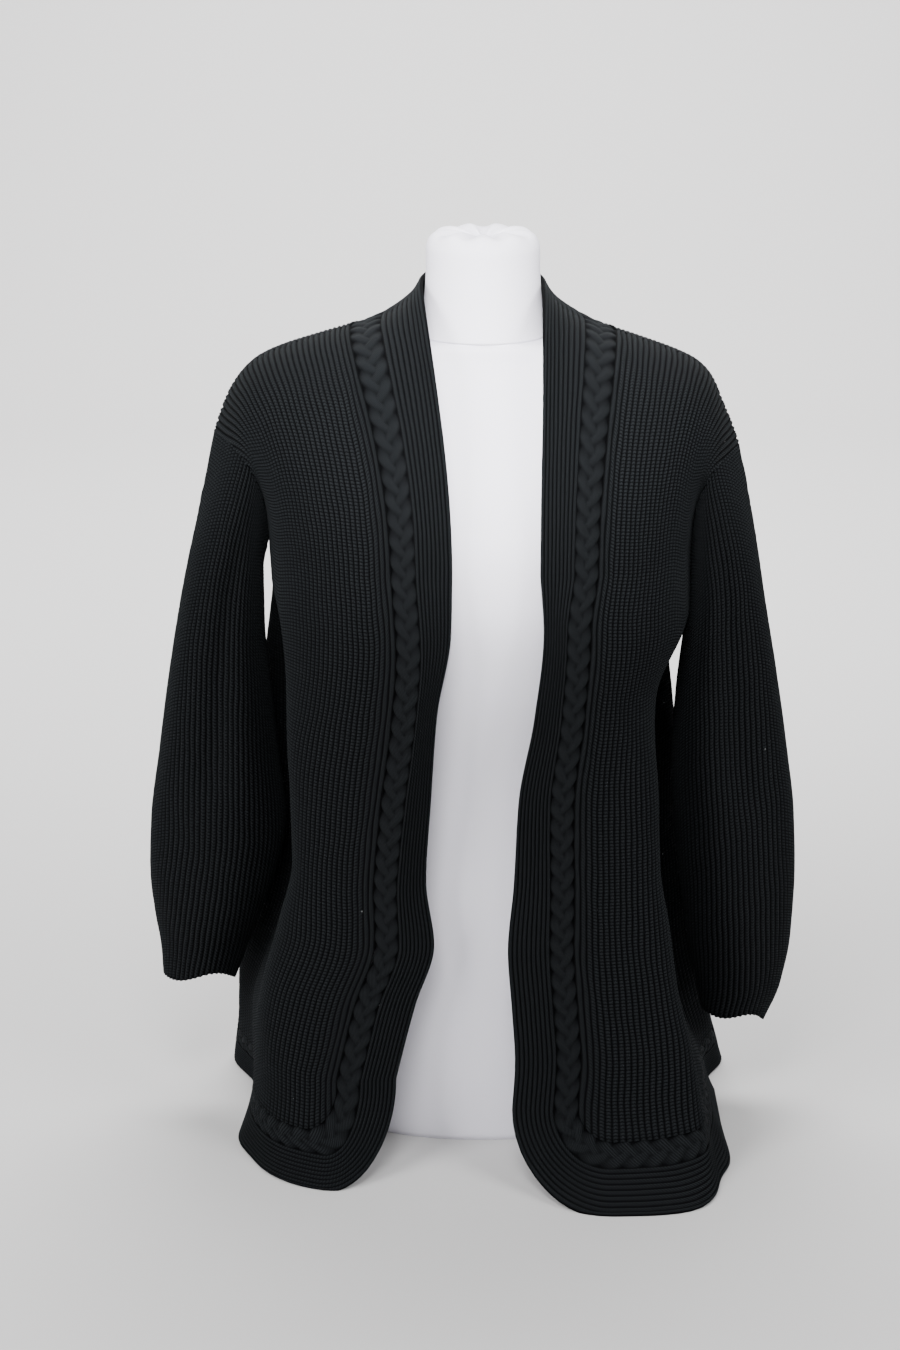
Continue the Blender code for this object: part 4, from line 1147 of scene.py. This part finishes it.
class Sleeve(ClothPiece):
    """A ribbed sleeve, hanging from its armhole down to a plain, wavy cuff."""

    def __init__(self, half: HalfCloth, rows: SleeveRows) -> None:
        """Names the piece after its side.

        Args:
            half: The half of the garment that it is sewn to.
            rows: How finely it is laid out.
        """
        super().__init__(f"sleeve_{half.measures.word}", Rests.HUNG,
                         [f"front_{half.measures.word}_knit", "back_knit"])
        self.half, self.rows = half, rows

    def grid(self) -> KnitGrid:
        """Rings from the armhole down, with ribs counted from the middle of the front.

        A rib's number is its distance round the ring over the pitch there, so that the
        ribs keep their size and run out into the seam under the arm.

        Returns:
            The sleeve's knitting.
        """
        half, rows = self.half, self.rows
        angle = np.linspace(0.0, 2 * math.pi, rows.cells_round, endpoint=False)[None, :]
        steps = round(half.sleeve_length / rows.row_step)
        even = np.linspace(0.0, 1.0, steps + 1)[:, None]
        down = half.sleeve_length * even**rows.crowding
        points = half.arm(angle, np.broadcast_to(down, (steps + 1, rows.cells_round)))
        loop = np.concatenate([points, points[:, :1]], axis=1)
        round_arm = run_along(loop, 1)
        girth = round_arm[:, -1:]
        front = round_arm[:, rows.cells_round // 4][:, None]
        from_front = round_arm[:, :-1] - front
        share = eased(down / half.sleeve_length)
        pitch = SLEEVE_PITCH + (rows.cuff_pitch - SLEEVE_PITCH) * share
        run = run_along(points, 0)
        uneven = WANDER * wander(from_front, run, SLEEVE_SEED + half.side)
        across = from_front / pitch + uneven
        seam = np.minimum(round_arm[:, :-1], girth - round_arm[:, :-1])
        hush = eased(seam / rows.seam_hush)
        relief = RIB_RELIEF * (rib_relief(across) * hush + 1 - hush)
        # Beside the seam the finish paints shade where the ribs sink in.
        return KnitGrid(points, relief, across, run, 1 - hush, -half.side, closed=True)

    def cut(self, grid: KnitGrid) -> tuple[float, float, float]:
        """The sleeve cut open along its seam: its widest girth, length and area."""
        loop = np.concatenate([grid.points, grid.points[:, :1]], axis=1)
        opened = KnitGrid(loop, grid.relief, grid.across, grid.run, grid.valley_painted_shade, grid.outward)
        return super().cut(opened)


class Strip(ClothPiece):
    """A strip parallel to the front's edge, from the side seam to the back of the neck.

    Rows are counted by about how long its stretches are: the hem without its corner as a
    share of the whole, the corner as a share of its two radii, the yoke and the neck.
    """

    HEM_SHARE = 0.75
    CORNER_TO_SIDES = 0.8
    YOKE_LENGTH = 0.29
    NECK_LENGTH = 0.13

    def __init__(self, node: str, half: HalfCloth, start: float, end: float, cells: int,
                 row_step: float) -> None:
        """Keeps where the strip runs.

        Args:
            node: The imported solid's name.
            half: The half of the garment that it edges.
            start: Its near side's distance in from the edge.
            end: Its far side's.
            cells: Grid cells across it.
            row_step: The distance from row to row.
        """
        super().__init__(node, Rests.HUNG, [f"front_{half.measures.word}_knit", "back_knit"])
        self.half, self.start, self.end = half, start, end
        self.cells, self.row_step = cells, row_step

    def surface(self) -> tuple[np.ndarray, np.ndarray]:
        """The strip's crest surface, from the side seam to the back of the neck.

        Its stretches are the hem, the corner, the edge, the yoke and the neck.

        Returns:
            The surface's points, and the normals of the three stretches that hang.
        """
        offsets = np.linspace(self.start, self.end, self.cells + 1)
        lines = [self._line(float(offset)) for offset in offsets]
        along, drop, upper = (np.stack(parts, axis=1) for parts in zip(*lines))
        points = np.concatenate([self.half.hang(along, drop), upper])
        return points, self.half.hang_normals(along, drop)

    def _line(self, offset: float) -> tuple[np.ndarray, np.ndarray, np.ndarray]:
        """One line of the strip, parallel to the front's edge.

        Args:
            offset: The line's distance in from the edge.

        Returns:
            Where its hanging stretches lie round the section and down the cloth, and the
            points of its yoke and neck.
        """
        half, step = self.half, self.row_step
        hem_length = float(half.side_seam(HEM_DROP) - half.inward(0.0, HEM_DROP))
        hem = np.linspace(0.0, 1.0, round(hem_length * self.HEM_SHARE / step) + 1)
        bend = sum(half.measures.corner) * self.CORNER_TO_SIDES
        corner = np.linspace(1.0, 2.0, round(bend / step) + 1)[1:]
        low_along, low_drop = half.outline(offset, np.concatenate([hem, corner]))
        joint_top, own_top = half.corner_top(JOINT), half.corner_top(offset)
        place = np.linspace(0.0, 1.0, round(joint_top / step) + 1)[1:]
        drop = (joint_top + (own_top - joint_top) * (1 - place) ** 2) * (1 - place)
        near = min(offset / BORDER_WIDTH, 1.0) * half.cable_arc
        far = max(offset - BORDER_WIDTH, 0.0) / CABLE_WIDTH * (half.joint_arc - half.cable_arc)
        turn = np.linspace(0.0, 1.0, round(self.YOKE_LENGTH / step) + 1)[1:]
        yoke = half.arch(half.inward(offset, 0.0), near + far, turn, -1)
        turn = np.linspace(0.0, 1.0, round(self.NECK_LENGTH / step) + 1)[1:]
        neck = half.collar(np.array(near + far), turn)
        along = np.concatenate([low_along, half.inward(offset, drop)])
        return along, np.concatenate([low_drop, drop]), np.concatenate([yoke, neck])


class Border(Strip):
    """The ribbed border at the front's edge, whose ribs run along it.

    Its free edge is rounded over by this much, over this width, and has no relief over
    this share of the border.
    """

    EDGE_ROUNDING = 0.0013
    EDGE_REACH = 0.0012
    PLAIN_SHARE = 0.04

    def grid(self) -> KnitGrid:
        """Ribs side by side, with the free edge rounded over.

        Returns:
            The border's knitting.
        """
        points, normals = self.surface()
        place = np.linspace(0.0, 1.0, self.cells + 1)
        run = run_along(points, 0)
        uneven = BORDER_WANDER * wander(place * BORDER_WIDTH, run, BORDER_SEED)
        across = place * BORDER_RIBS + 0.5 + uneven
        rounding = self.EDGE_ROUNDING * np.exp(-((place * BORDER_WIDTH / self.EDGE_REACH) ** 2))
        inside = 1 - np.exp(-((place / self.PLAIN_SHARE) ** 2))
        relief = RIB_RELIEF * rib_relief(across) * inside + rounding
        return KnitGrid(points, relief, across, run, np.zeros_like(run), self.half.side,
                        hung_normals=normals)


class Cable(Strip):
    """The plaited cable between the border and the ribbed front.

    Its strands swing and reach to each side by these shares of half its width. A
    strand's middle height is a share of its highest. Across a strand the stitches turn
    by this much of a rib, and the painted shade in the valleys beside it fades out as it
    rises.
    """

    STRANDS = 3
    SWING = 0.60
    STRAND_HALF_WIDTH = 0.47
    MIDDLE_HEIGHT = 0.70
    STITCH_TURN = 0.4
    VALLEY_TOP, VALLEY_SLOPE = 1.15, 1.5

    def grid(self) -> KnitGrid:
        """A three-strand plait in relief.

        Each strand swings from side to side as a sine of the way along, a third of a
        repeat behind the last, and rises over its neighbours twice a repeat. Its face is
        half an ellipse, and the highest strand shows.

        Returns:
            The cable's knitting.
        """
        points, normals = self.surface()
        place = np.linspace(-1.0, 1.0, self.cells + 1)
        run = run_along(points, 0)
        middle_run = run[:, self.cells // 2][:, None]
        top = np.zeros(run.shape)
        across = np.zeros(run.shape)
        for strand in range(self.STRANDS):
            phase = 2 * math.pi * (middle_run / PLAIT_REPEAT + strand / self.STRANDS)
            away = (place - self.SWING * np.sin(phase)) / self.STRAND_HALF_WIDTH
            over = self.MIDDLE_HEIGHT + (1 - self.MIDDLE_HEIGHT) * np.sin(2 * phase)
            face = np.sqrt(np.maximum(1 - away**2, 0.0)) * over
            across = np.where(face > top, away * self.STITCH_TURN, across)
            top = np.maximum(top, face)
        # Painted shade: the valleys between the strands are darkened by the finish, less where a
        # strand rises.
        valley_painted_shade = np.clip(self.VALLEY_TOP - self.VALLEY_SLOPE * top, 0.0, 1.0)
        return KnitGrid(points, PLAIT_RELIEF * (1 - top), across, run, valley_painted_shade, self.half.side,
                        inner_every=(8, 2), hung_normals=normals)


@dataclass(frozen=True)
class FormRows:
    """How finely the dress form is laid out. The neck has twice as many cells round."""

    round_cells: int = 96
    torso_rows: int = 120
    neck_rows: int = 60


def turned_object(name: str, rings: np.ndarray) -> bpy.types.Object:
    """Makes a closed object through rings of points, with a flat cap at each end.

    Args:
        name: The object's name.
        rings: Rings, points and x, y, z.

    Returns:
        The linked object.
    """
    count, wide = rings.shape[:2]
    grid = np.arange(count * wide).reshape(count, wide)
    following = np.roll(grid, -1, axis=1)
    cells = np.stack([grid[:-1], following[:-1], following[1:], grid[1:]], axis=-1)
    faces = cells.reshape(-1, 4).tolist() + [grid[0][::-1].tolist(), grid[-1].tolist()]
    return mesh_object(name, rings.reshape(-1, 3), faces)


class DressForm:
    """The limbless form that wears the cardigan, covered in white jersey."""

    def __init__(self, rows: FormRows) -> None:
        """Keeps how finely the form is laid out."""
        self.rows = rows

    def _sizes(self, table: Table, names: Sequence[str], count: int) -> dict[str, np.ndarray]:
        """Reads a table off at even steps from its first row to its last.

        Args:
            table: Rows of sizes.
            names: The columns' names.
            count: How many steps.

        Returns:
            Each column's smoothed sizes under its name, one row each.
        """
        place = np.linspace(0.0, len(table) - 1.0, count + 1)[:, None]
        steps = np.arange(len(table))
        columns = named_columns(table, names)
        return {name: Curve(steps, column).at(place) for name, column in columns.items()}

    def torso(self) -> bpy.types.Object:
        """The torso: superellipses at each height, with depths before and behind.

        Returns:
            The linked object.
        """
        size = self._sizes(FORM_TORSO, TORSO_COLUMNS, self.rows.torso_rows)
        angle = np.linspace(0.0, 2 * math.pi, self.rows.round_cells, endpoint=False)[None, :]
        power = 2 / FORM_SQUARENESS
        depth = np.where(np.cos(angle) > 0, size["front"], size["back"])
        x = size["half_width"] * np.sign(np.sin(angle)) * np.abs(np.sin(angle)) ** power
        y = -depth * np.sign(np.cos(angle)) * np.abs(np.cos(angle)) ** power
        return turned_object("form_torso_jersey",
                             np.stack(np.broadcast_arrays(x, y, size["height"]), axis=-1))

    def neck(self) -> bpy.types.Object:
        """The neck's cover: a turned shape whose crown is gathered to its centre.

        The gathers are a cosine of the way round, so they are even.

        Returns:
            The linked object.
        """
        size = self._sizes(FORM_NECK, NECK_COLUMNS, self.rows.neck_rows)
        angle = np.linspace(0.0, 2 * math.pi, 2 * self.rows.round_cells, endpoint=False)[None, :]
        lift = size["gather"] * np.cos(NECK_GATHERS * angle)
        x, y = size["radius"] * np.sin(angle), -size["radius"] * np.cos(angle)
        return turned_object("form_neck_jersey",
                             np.stack(np.broadcast_arrays(x, y, size["height"] + lift), axis=-1))

    def build(self, material: bpy.types.Material) -> None:
        """Makes both pieces and dresses them.

        Args:
            material: The jersey's finish.
        """
        for made, node in ((self.torso(), "form_torso"), (self.neck(), "form_neck")):
            made.data.materials.append(material)
            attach(made, "root")
            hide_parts(node)
            logging.info("%s: %d faces", made.name, len(made.data.polygons))


def colour(hex_code: str) -> tuple[float, float, float, float]:
    """Turns a screen colour such as "#20262a" into a linear one.

    Each channel is its share of 255, straightened by the screen's curve.
    """
    shares = np.array([int(hex_code[k : k + 2], 16) for k in (1, 3, 5)]) / 255
    straight = np.where(shares <= 0.04045, shares / 12.92, ((shares + 0.055) / 1.055) ** 2.4)
    return (*(float(channel) for channel in straight), 1.0)


def add_node(tree: bpy.types.NodeTree, kind: str, links: dict | None = None,
             **settings: object) -> bpy.types.Node:
    """Adds a node, sets it and joins its inputs.

    Args:
        tree: The material's node tree.
        kind: The node's type.
        links: For each input, by name or number, a socket to join or a value to set.
        settings: The node's own properties.

    Returns:
        The node.
    """
    node = tree.nodes.new(kind)
    for name, value in settings.items():
        setattr(node, name, value)
    for socket, value in (links or {}).items():
        if isinstance(value, bpy.types.NodeSocket):
            tree.links.new(value, node.inputs[socket])
        else:
            node.inputs[socket].default_value = value
    return node


def calculate(tree: bpy.types.NodeTree, operation: str, *values: object) -> bpy.types.NodeSocket:
    """A sum on sockets or numbers.

    Args:
        tree: The material's node tree.
        operation: The kind of sum.
        values: Its sockets or numbers.

    Returns:
        The answer's socket.
    """
    return add_node(tree, "ShaderNodeMath", dict(enumerate(values)), operation=operation).outputs[0]


@dataclass(frozen=True)
class KnitFinish:
    """Matt black wool knit: stitches on the ribs, a fine fuzz and a few specks of lint.

    The eye sees near-black charcoal, with painted shade that makes it darker in the
    grooves and between stitches, and a faint cool bloom where the fuzz catches light
    from the side.

    A groove runs between its edges in shares of a rib off the crest, a gap between its
    edges of the stitches' sine, and each has its share of the painted shade colour.
    """

    name: str = "black_wool_knit"
    crest: str = "#17191b"
    # The painted shade colour of the grooves, the valleys and the gaps between stitches.
    groove_painted_shade: str = "#020203"
    roughness: float = 0.92
    fuzz: float = 0.05
    stitch_height: float = 0.0009
    slant: float = 0.7
    groove_edges: tuple[float, float] = (0.20, 0.44)
    groove_shade: float = 0.9
    gap_edges: tuple[float, float] = (0.1, -0.9)
    gap_shade: float = 0.75
    yarn_scale: float = 900.0
    yarn_share: float = 0.6
    bump_strength: float = 0.9
    shine: float = 0.05
    fuzz_roughness: float = 0.6
    fuzz_tint: str = "#aab4b8"
    lint: str = "#77797a"
    lint_scale: float = 45.0
    lint_size: float = 0.03
    lint_rarity: float = 0.90

    def build(self) -> bpy.types.Material:
        """Makes the material.

        Stitches are a sine of the way along a rib, drawn into a V by the distance from
        its crest. Grooves, valleys and the gaps between stitches are painted in shade.
        Lint lies at the middle of a few cells of a fine scatter.

        Returns:
            The material.
        """
        material = bpy.data.materials.new(self.name)
        material.use_nodes = True
        tree = material.node_tree
        shader = tree.nodes["Principled BSDF"]
        rib = add_node(tree, "ShaderNodeAttribute", attribute_name="rib_place").outputs["Fac"]
        run = add_node(tree, "ShaderNodeAttribute", attribute_name="run_place").outputs["Fac"]
        valley_painted_shade = add_node(tree, "ShaderNodeAttribute", attribute_name="valley_painted_shade").outputs["Fac"]
        place = add_node(tree, "ShaderNodeTexCoord").outputs["Object"]
        off_crest = calculate(tree, "ABSOLUTE", calculate(
            tree, "SUBTRACT", rib, calculate(tree, "ROUND", rib)))
        stitch = calculate(tree, "ADD", calculate(tree, "DIVIDE", run, COURSE),
                           calculate(tree, "MULTIPLY", off_crest, self.slant))
        wave = calculate(tree, "SINE", calculate(tree, "MULTIPLY", stitch, 2 * math.pi))
        yarn = add_node(tree, "ShaderNodeTexNoise",
                        {"Vector": place, "Scale": self.yarn_scale, "Detail": 3.0}).outputs["Fac"]
        # Painted shade: grooves between ribs, the strips' valleys and the gaps between stitches get
        # the darker colour and less sheen. The gaps also dip in the bump.
        groove_painted_shade = self._step(tree, off_crest, self.groove_edges)
        groove_painted_shade = calculate(tree, "MAXIMUM", groove_painted_shade, valley_painted_shade)
        stitch_gap_bump_and_shade = self._step(tree, wave, self.gap_edges)
        height = calculate(tree, "SUBTRACT",
                           calculate(tree, "MULTIPLY", yarn, self.yarn_share), stitch_gap_bump_and_shade)
        bump = add_node(tree, "ShaderNodeBump", {
            "Height": height, "Strength": self.bump_strength, "Distance": self.stitch_height,
        })
        shade = calculate(tree, "MAXIMUM", calculate(tree, "MULTIPLY", groove_painted_shade, self.groove_shade),
                          calculate(tree, "MULTIPLY", stitch_gap_bump_and_shade, self.gap_shade))
        tone = add_node(tree, "ShaderNodeMix", {0: shade, 6: colour(self.crest),
                                                7: colour(self.groove_painted_shade)}, data_type="RGBA")
        spots = add_node(tree, "ShaderNodeTexVoronoi", {"Vector": place, "Scale": self.lint_scale})
        near = calculate(tree, "LESS_THAN", spots.outputs["Distance"], self.lint_size)
        chosen = add_node(tree, "ShaderNodeSeparateColor", {0: spots.outputs["Color"]}).outputs[0]
        few = calculate(tree, "GREATER_THAN", chosen, self.lint_rarity)
        tone = add_node(tree, "ShaderNodeMix", {
            0: calculate(tree, "MULTIPLY", near, few), 6: tone.outputs[2], 7: colour(self.lint),
        }, data_type="RGBA")
        links = tree.links
        links.new(tone.outputs[2], shader.inputs["Base Color"])
        links.new(bump.outputs["Normal"], shader.inputs["Normal"])
        shader.inputs["Roughness"].default_value = self.roughness
        # The fuzz's sheen is dimmed where shade is painted.
        lit = calculate(tree, "MULTIPLY", calculate(tree, "SUBTRACT", 1.0, shade), self.fuzz)
        links.new(lit, shader.inputs["Sheen Weight"])
        shader.inputs["Specular IOR Level"].default_value = self.shine
        shader.inputs["Sheen Roughness"].default_value = self.fuzz_roughness
        shader.inputs["Sheen Tint"].default_value = colour(self.fuzz_tint)
        return material

    def _step(self, tree: bpy.types.NodeTree, value: bpy.types.NodeSocket,
              edges: tuple[float, float]) -> bpy.types.NodeSocket:
        """A smooth step from 0 at the first edge to 1 at the second.

        Args:
            tree: The material's node tree.
            value: What the step is taken over.
            edges: Where it starts and ends.

        Returns:
            The step's socket.
        """
        return add_node(tree, "ShaderNodeMapRange", {0: value, 1: edges[0], 2: edges[1]},
                        interpolation_type="SMOOTHSTEP").outputs[0]


@dataclass(frozen=True)
class JerseyFinish:
    """White cotton jersey, drawn tight: a cool white cloth, quite matt, finely knitted."""

    name: str = "white_cotton_jersey"
    cloth: str = "#f4f2fc"
    roughness: float = 0.85
    shine: float = 0.2
    weave_scale: float = 1400.0
    weave_strength: float = 0.3
    weave_height: float = 0.0003

    def build(self) -> bpy.types.Material:
        """Makes the material, with a fine weave in relief.

        Returns:
            The material.
        """
        material = bpy.data.materials.new(self.name)
        material.use_nodes = True
        tree = material.node_tree
        shader = tree.nodes["Principled BSDF"]
        place = add_node(tree, "ShaderNodeTexCoord").outputs["Object"]
        weave = add_node(tree, "ShaderNodeTexNoise",
                         {"Vector": place, "Scale": self.weave_scale, "Detail": 2.0}).outputs["Fac"]
        bump = add_node(tree, "ShaderNodeBump", {
            "Height": weave, "Strength": self.weave_strength, "Distance": self.weave_height,
        })
        tree.links.new(bump.outputs["Normal"], shader.inputs["Normal"])
        shader.inputs["Base Color"].default_value = colour(self.cloth)
        shader.inputs["Roughness"].default_value = self.roughness
        shader.inputs["Specular IOR Level"].default_value = self.shine
        return material


@dataclass(frozen=True)
class PaperFinish:
    """Matt pale grey backdrop paper: even, with hardly any shine."""

    name: str = "matt_paper"
    paper: str = "#c4c3c3"
    roughness: float = 0.9
    shine: float = 0.1

    def build(self) -> bpy.types.Material:
        """Makes the material.

        Returns:
            The material.
        """
        material = bpy.data.materials.new(self.name)
        material.use_nodes = True
        shader = material.node_tree.nodes["Principled BSDF"]
        shader.inputs["Base Color"].default_value = colour(self.paper)
        shader.inputs["Roughness"].default_value = self.roughness
        shader.inputs["Specular IOR Level"].default_value = self.shine
        return material


@dataclass(frozen=True)
class Softbox:
    """A square lamp: where it is, what it is aimed at, its side and its power in watts."""

    name: str
    place: tuple[float, float, float]
    target: tuple[float, float, float]
    size: float
    power: float


SOFTBOXES = (
    Softbox("softbox_right_of_form", (-2.1, -1.5, 1.6), (0.0, 0.0, 0.8), 1.2, 80.0),
    Softbox("softbox_left_of_form", (2.1, -1.4, 1.6), (0.0, 0.0, 0.8), 1.2, 56.0),
    Softbox("softbox_in_front", (-0.2, -1.3, 1.9), (0.0, 0.0, 0.9), 0.7, 30.0),
    Softbox("softbox_on_backdrop", (0.0, 1.8, 3.4), (0.0, 4.0, 0.8), 2.5, 420.0),
)


@dataclass(frozen=True)
class Studio:
    """A pale floor that sweeps up into a backdrop, the lights and the camera."""

    floor_near: float = -4.0
    sweep_start: float = 3.0
    sweep_radius: float = 1.2
    wall_height: float = 5.0
    half_width: float = 7.0
    bend_rows: int = 25
    air_strength: float = 0.30
    camera_place: tuple[float, float, float] = (0.0, -2.4, 1.219)
    camera_tilt: float = 72.0
    image_height: int = 1350
    focal_pixels: float = 2640.0
    shift_pixels: float = -33.0
    snoot_place: tuple[float, float, float] = (0.0, -2.2, 1.6)
    snoot_tilt: float = 68.5
    snoot_angle: float = 15.0
    snoot_radius: float = 0.08
    snoot_power: float = 560.0

    def build(self) -> None:
        """Makes the stage, lights and camera."""
        self._sweep()
        self._lights()
        self._camera()

    def _sweep(self) -> None:
        """The paper: flat, then a quarter circle, then straight up."""
        bend = np.linspace(0.0, math.pi / 2, self.bend_rows)
        y = self.sweep_start + self.sweep_radius * np.sin(bend)
        z = self.sweep_radius * (1 - np.cos(bend))
        y = np.concatenate([[self.floor_near], y, [y[-1]]])
        z = np.concatenate([[0.0], z, [self.wall_height]])
        x = np.array([-self.half_width, self.half_width])[:, None]
        points = np.stack(np.broadcast_arrays(x, y[None, :], z[None, :]), axis=-1)
        wide = len(y)
        first = np.arange(wide - 1)
        faces = np.stack([first, first + wide, first + wide + 1, first + 1], axis=-1).tolist()
        mesh = bpy.data.meshes.new("paper_sweep")
        mesh.from_pydata(points.reshape(-1, 3), [], faces)
        mesh.shade_smooth()
        made = bpy.data.objects.new("paper_sweep", mesh)
        bpy.context.scene.collection.objects.link(made)
        made.data.materials.append(PaperFinish().build())

    def _lights(self) -> None:
        """Softboxes beside, in front and on the backdrop, a snoot and an even white world."""
        scene = bpy.context.scene
        world = bpy.data.worlds.new("studio_air")
        world.use_nodes = True
        background = world.node_tree.nodes["Background"]
        background.inputs["Color"].default_value = (1, 1, 1, 1)
        background.inputs["Strength"].default_value = self.air_strength
        scene.world = world
        for box in SOFTBOXES:
            light = bpy.data.lights.new(box.name, "AREA")
            light.shape, light.size, light.energy = "SQUARE", box.size, box.power
            made = bpy.data.objects.new(box.name, light)
            made.location = box.place
            aim = np.array(box.target) - np.array(box.place)
            across = math.hypot(aim[0], aim[1])
            made.rotation_euler = (
                math.pi / 2 + math.atan2(aim[2], across), 0.0, math.atan2(-aim[0], aim[1]),
            )
            scene.collection.objects.link(made)
        snoot = bpy.data.lights.new("snoot_on_chest", "SPOT")
        snoot.energy, snoot.shadow_soft_size = self.snoot_power, self.snoot_radius
        snoot.spot_size, snoot.spot_blend = math.radians(self.snoot_angle), 1.0
        made = bpy.data.objects.new(snoot.name, snoot)
        made.location = self.snoot_place
        made.rotation_euler = (math.radians(self.snoot_tilt), 0.0, 0.0)
        scene.collection.objects.link(made)

    def _camera(self) -> None:
        """The camera at the photo's viewing angle."""
        camera = bpy.data.cameras.new("camera")
        camera.sensor_width = 36.0
        camera.lens = self.focal_pixels / self.image_height * camera.sensor_width
        camera.shift_x = self.shift_pixels / self.image_height
        made = bpy.data.objects.new("camera", camera)
        made.location = self.camera_place
        made.rotation_euler = (math.radians(self.camera_tilt), 0.0, 0.0)
        bpy.context.scene.collection.objects.link(made)
        bpy.context.scene.camera = made


def main() -> None:
    """Builds every piece in order."""
    logging.basicConfig(level=logging.INFO, format="%(message)s")
    knit, jersey = KnitFinish().build(), JerseyFinish().build()
    right, left = HalfCloth(RIGHT_HALF), HalfCloth(LEFT_HALF)
    panel_rows, sleeve_rows = PanelRows(), SleeveRows()
    DressForm(FormRows()).build(jersey)
    BackPanel(right, left, panel_rows).build(knit)
    for half in (right, left):
        word = half.measures.word
        FrontPanel(half, panel_rows).build(knit)
        Sleeve(half, sleeve_rows).build(knit)
        Border(f"border_{word}", half, 0.0, BORDER_WIDTH, BORDER_CELLS, BORDER_STEP).build(knit)
        Cable(f"cable_{word}", half, BORDER_WIDTH, JOINT, CABLE_CELLS, CABLE_STEP).build(knit)
    Studio().build()


if __name__ == "__main__":
    main()
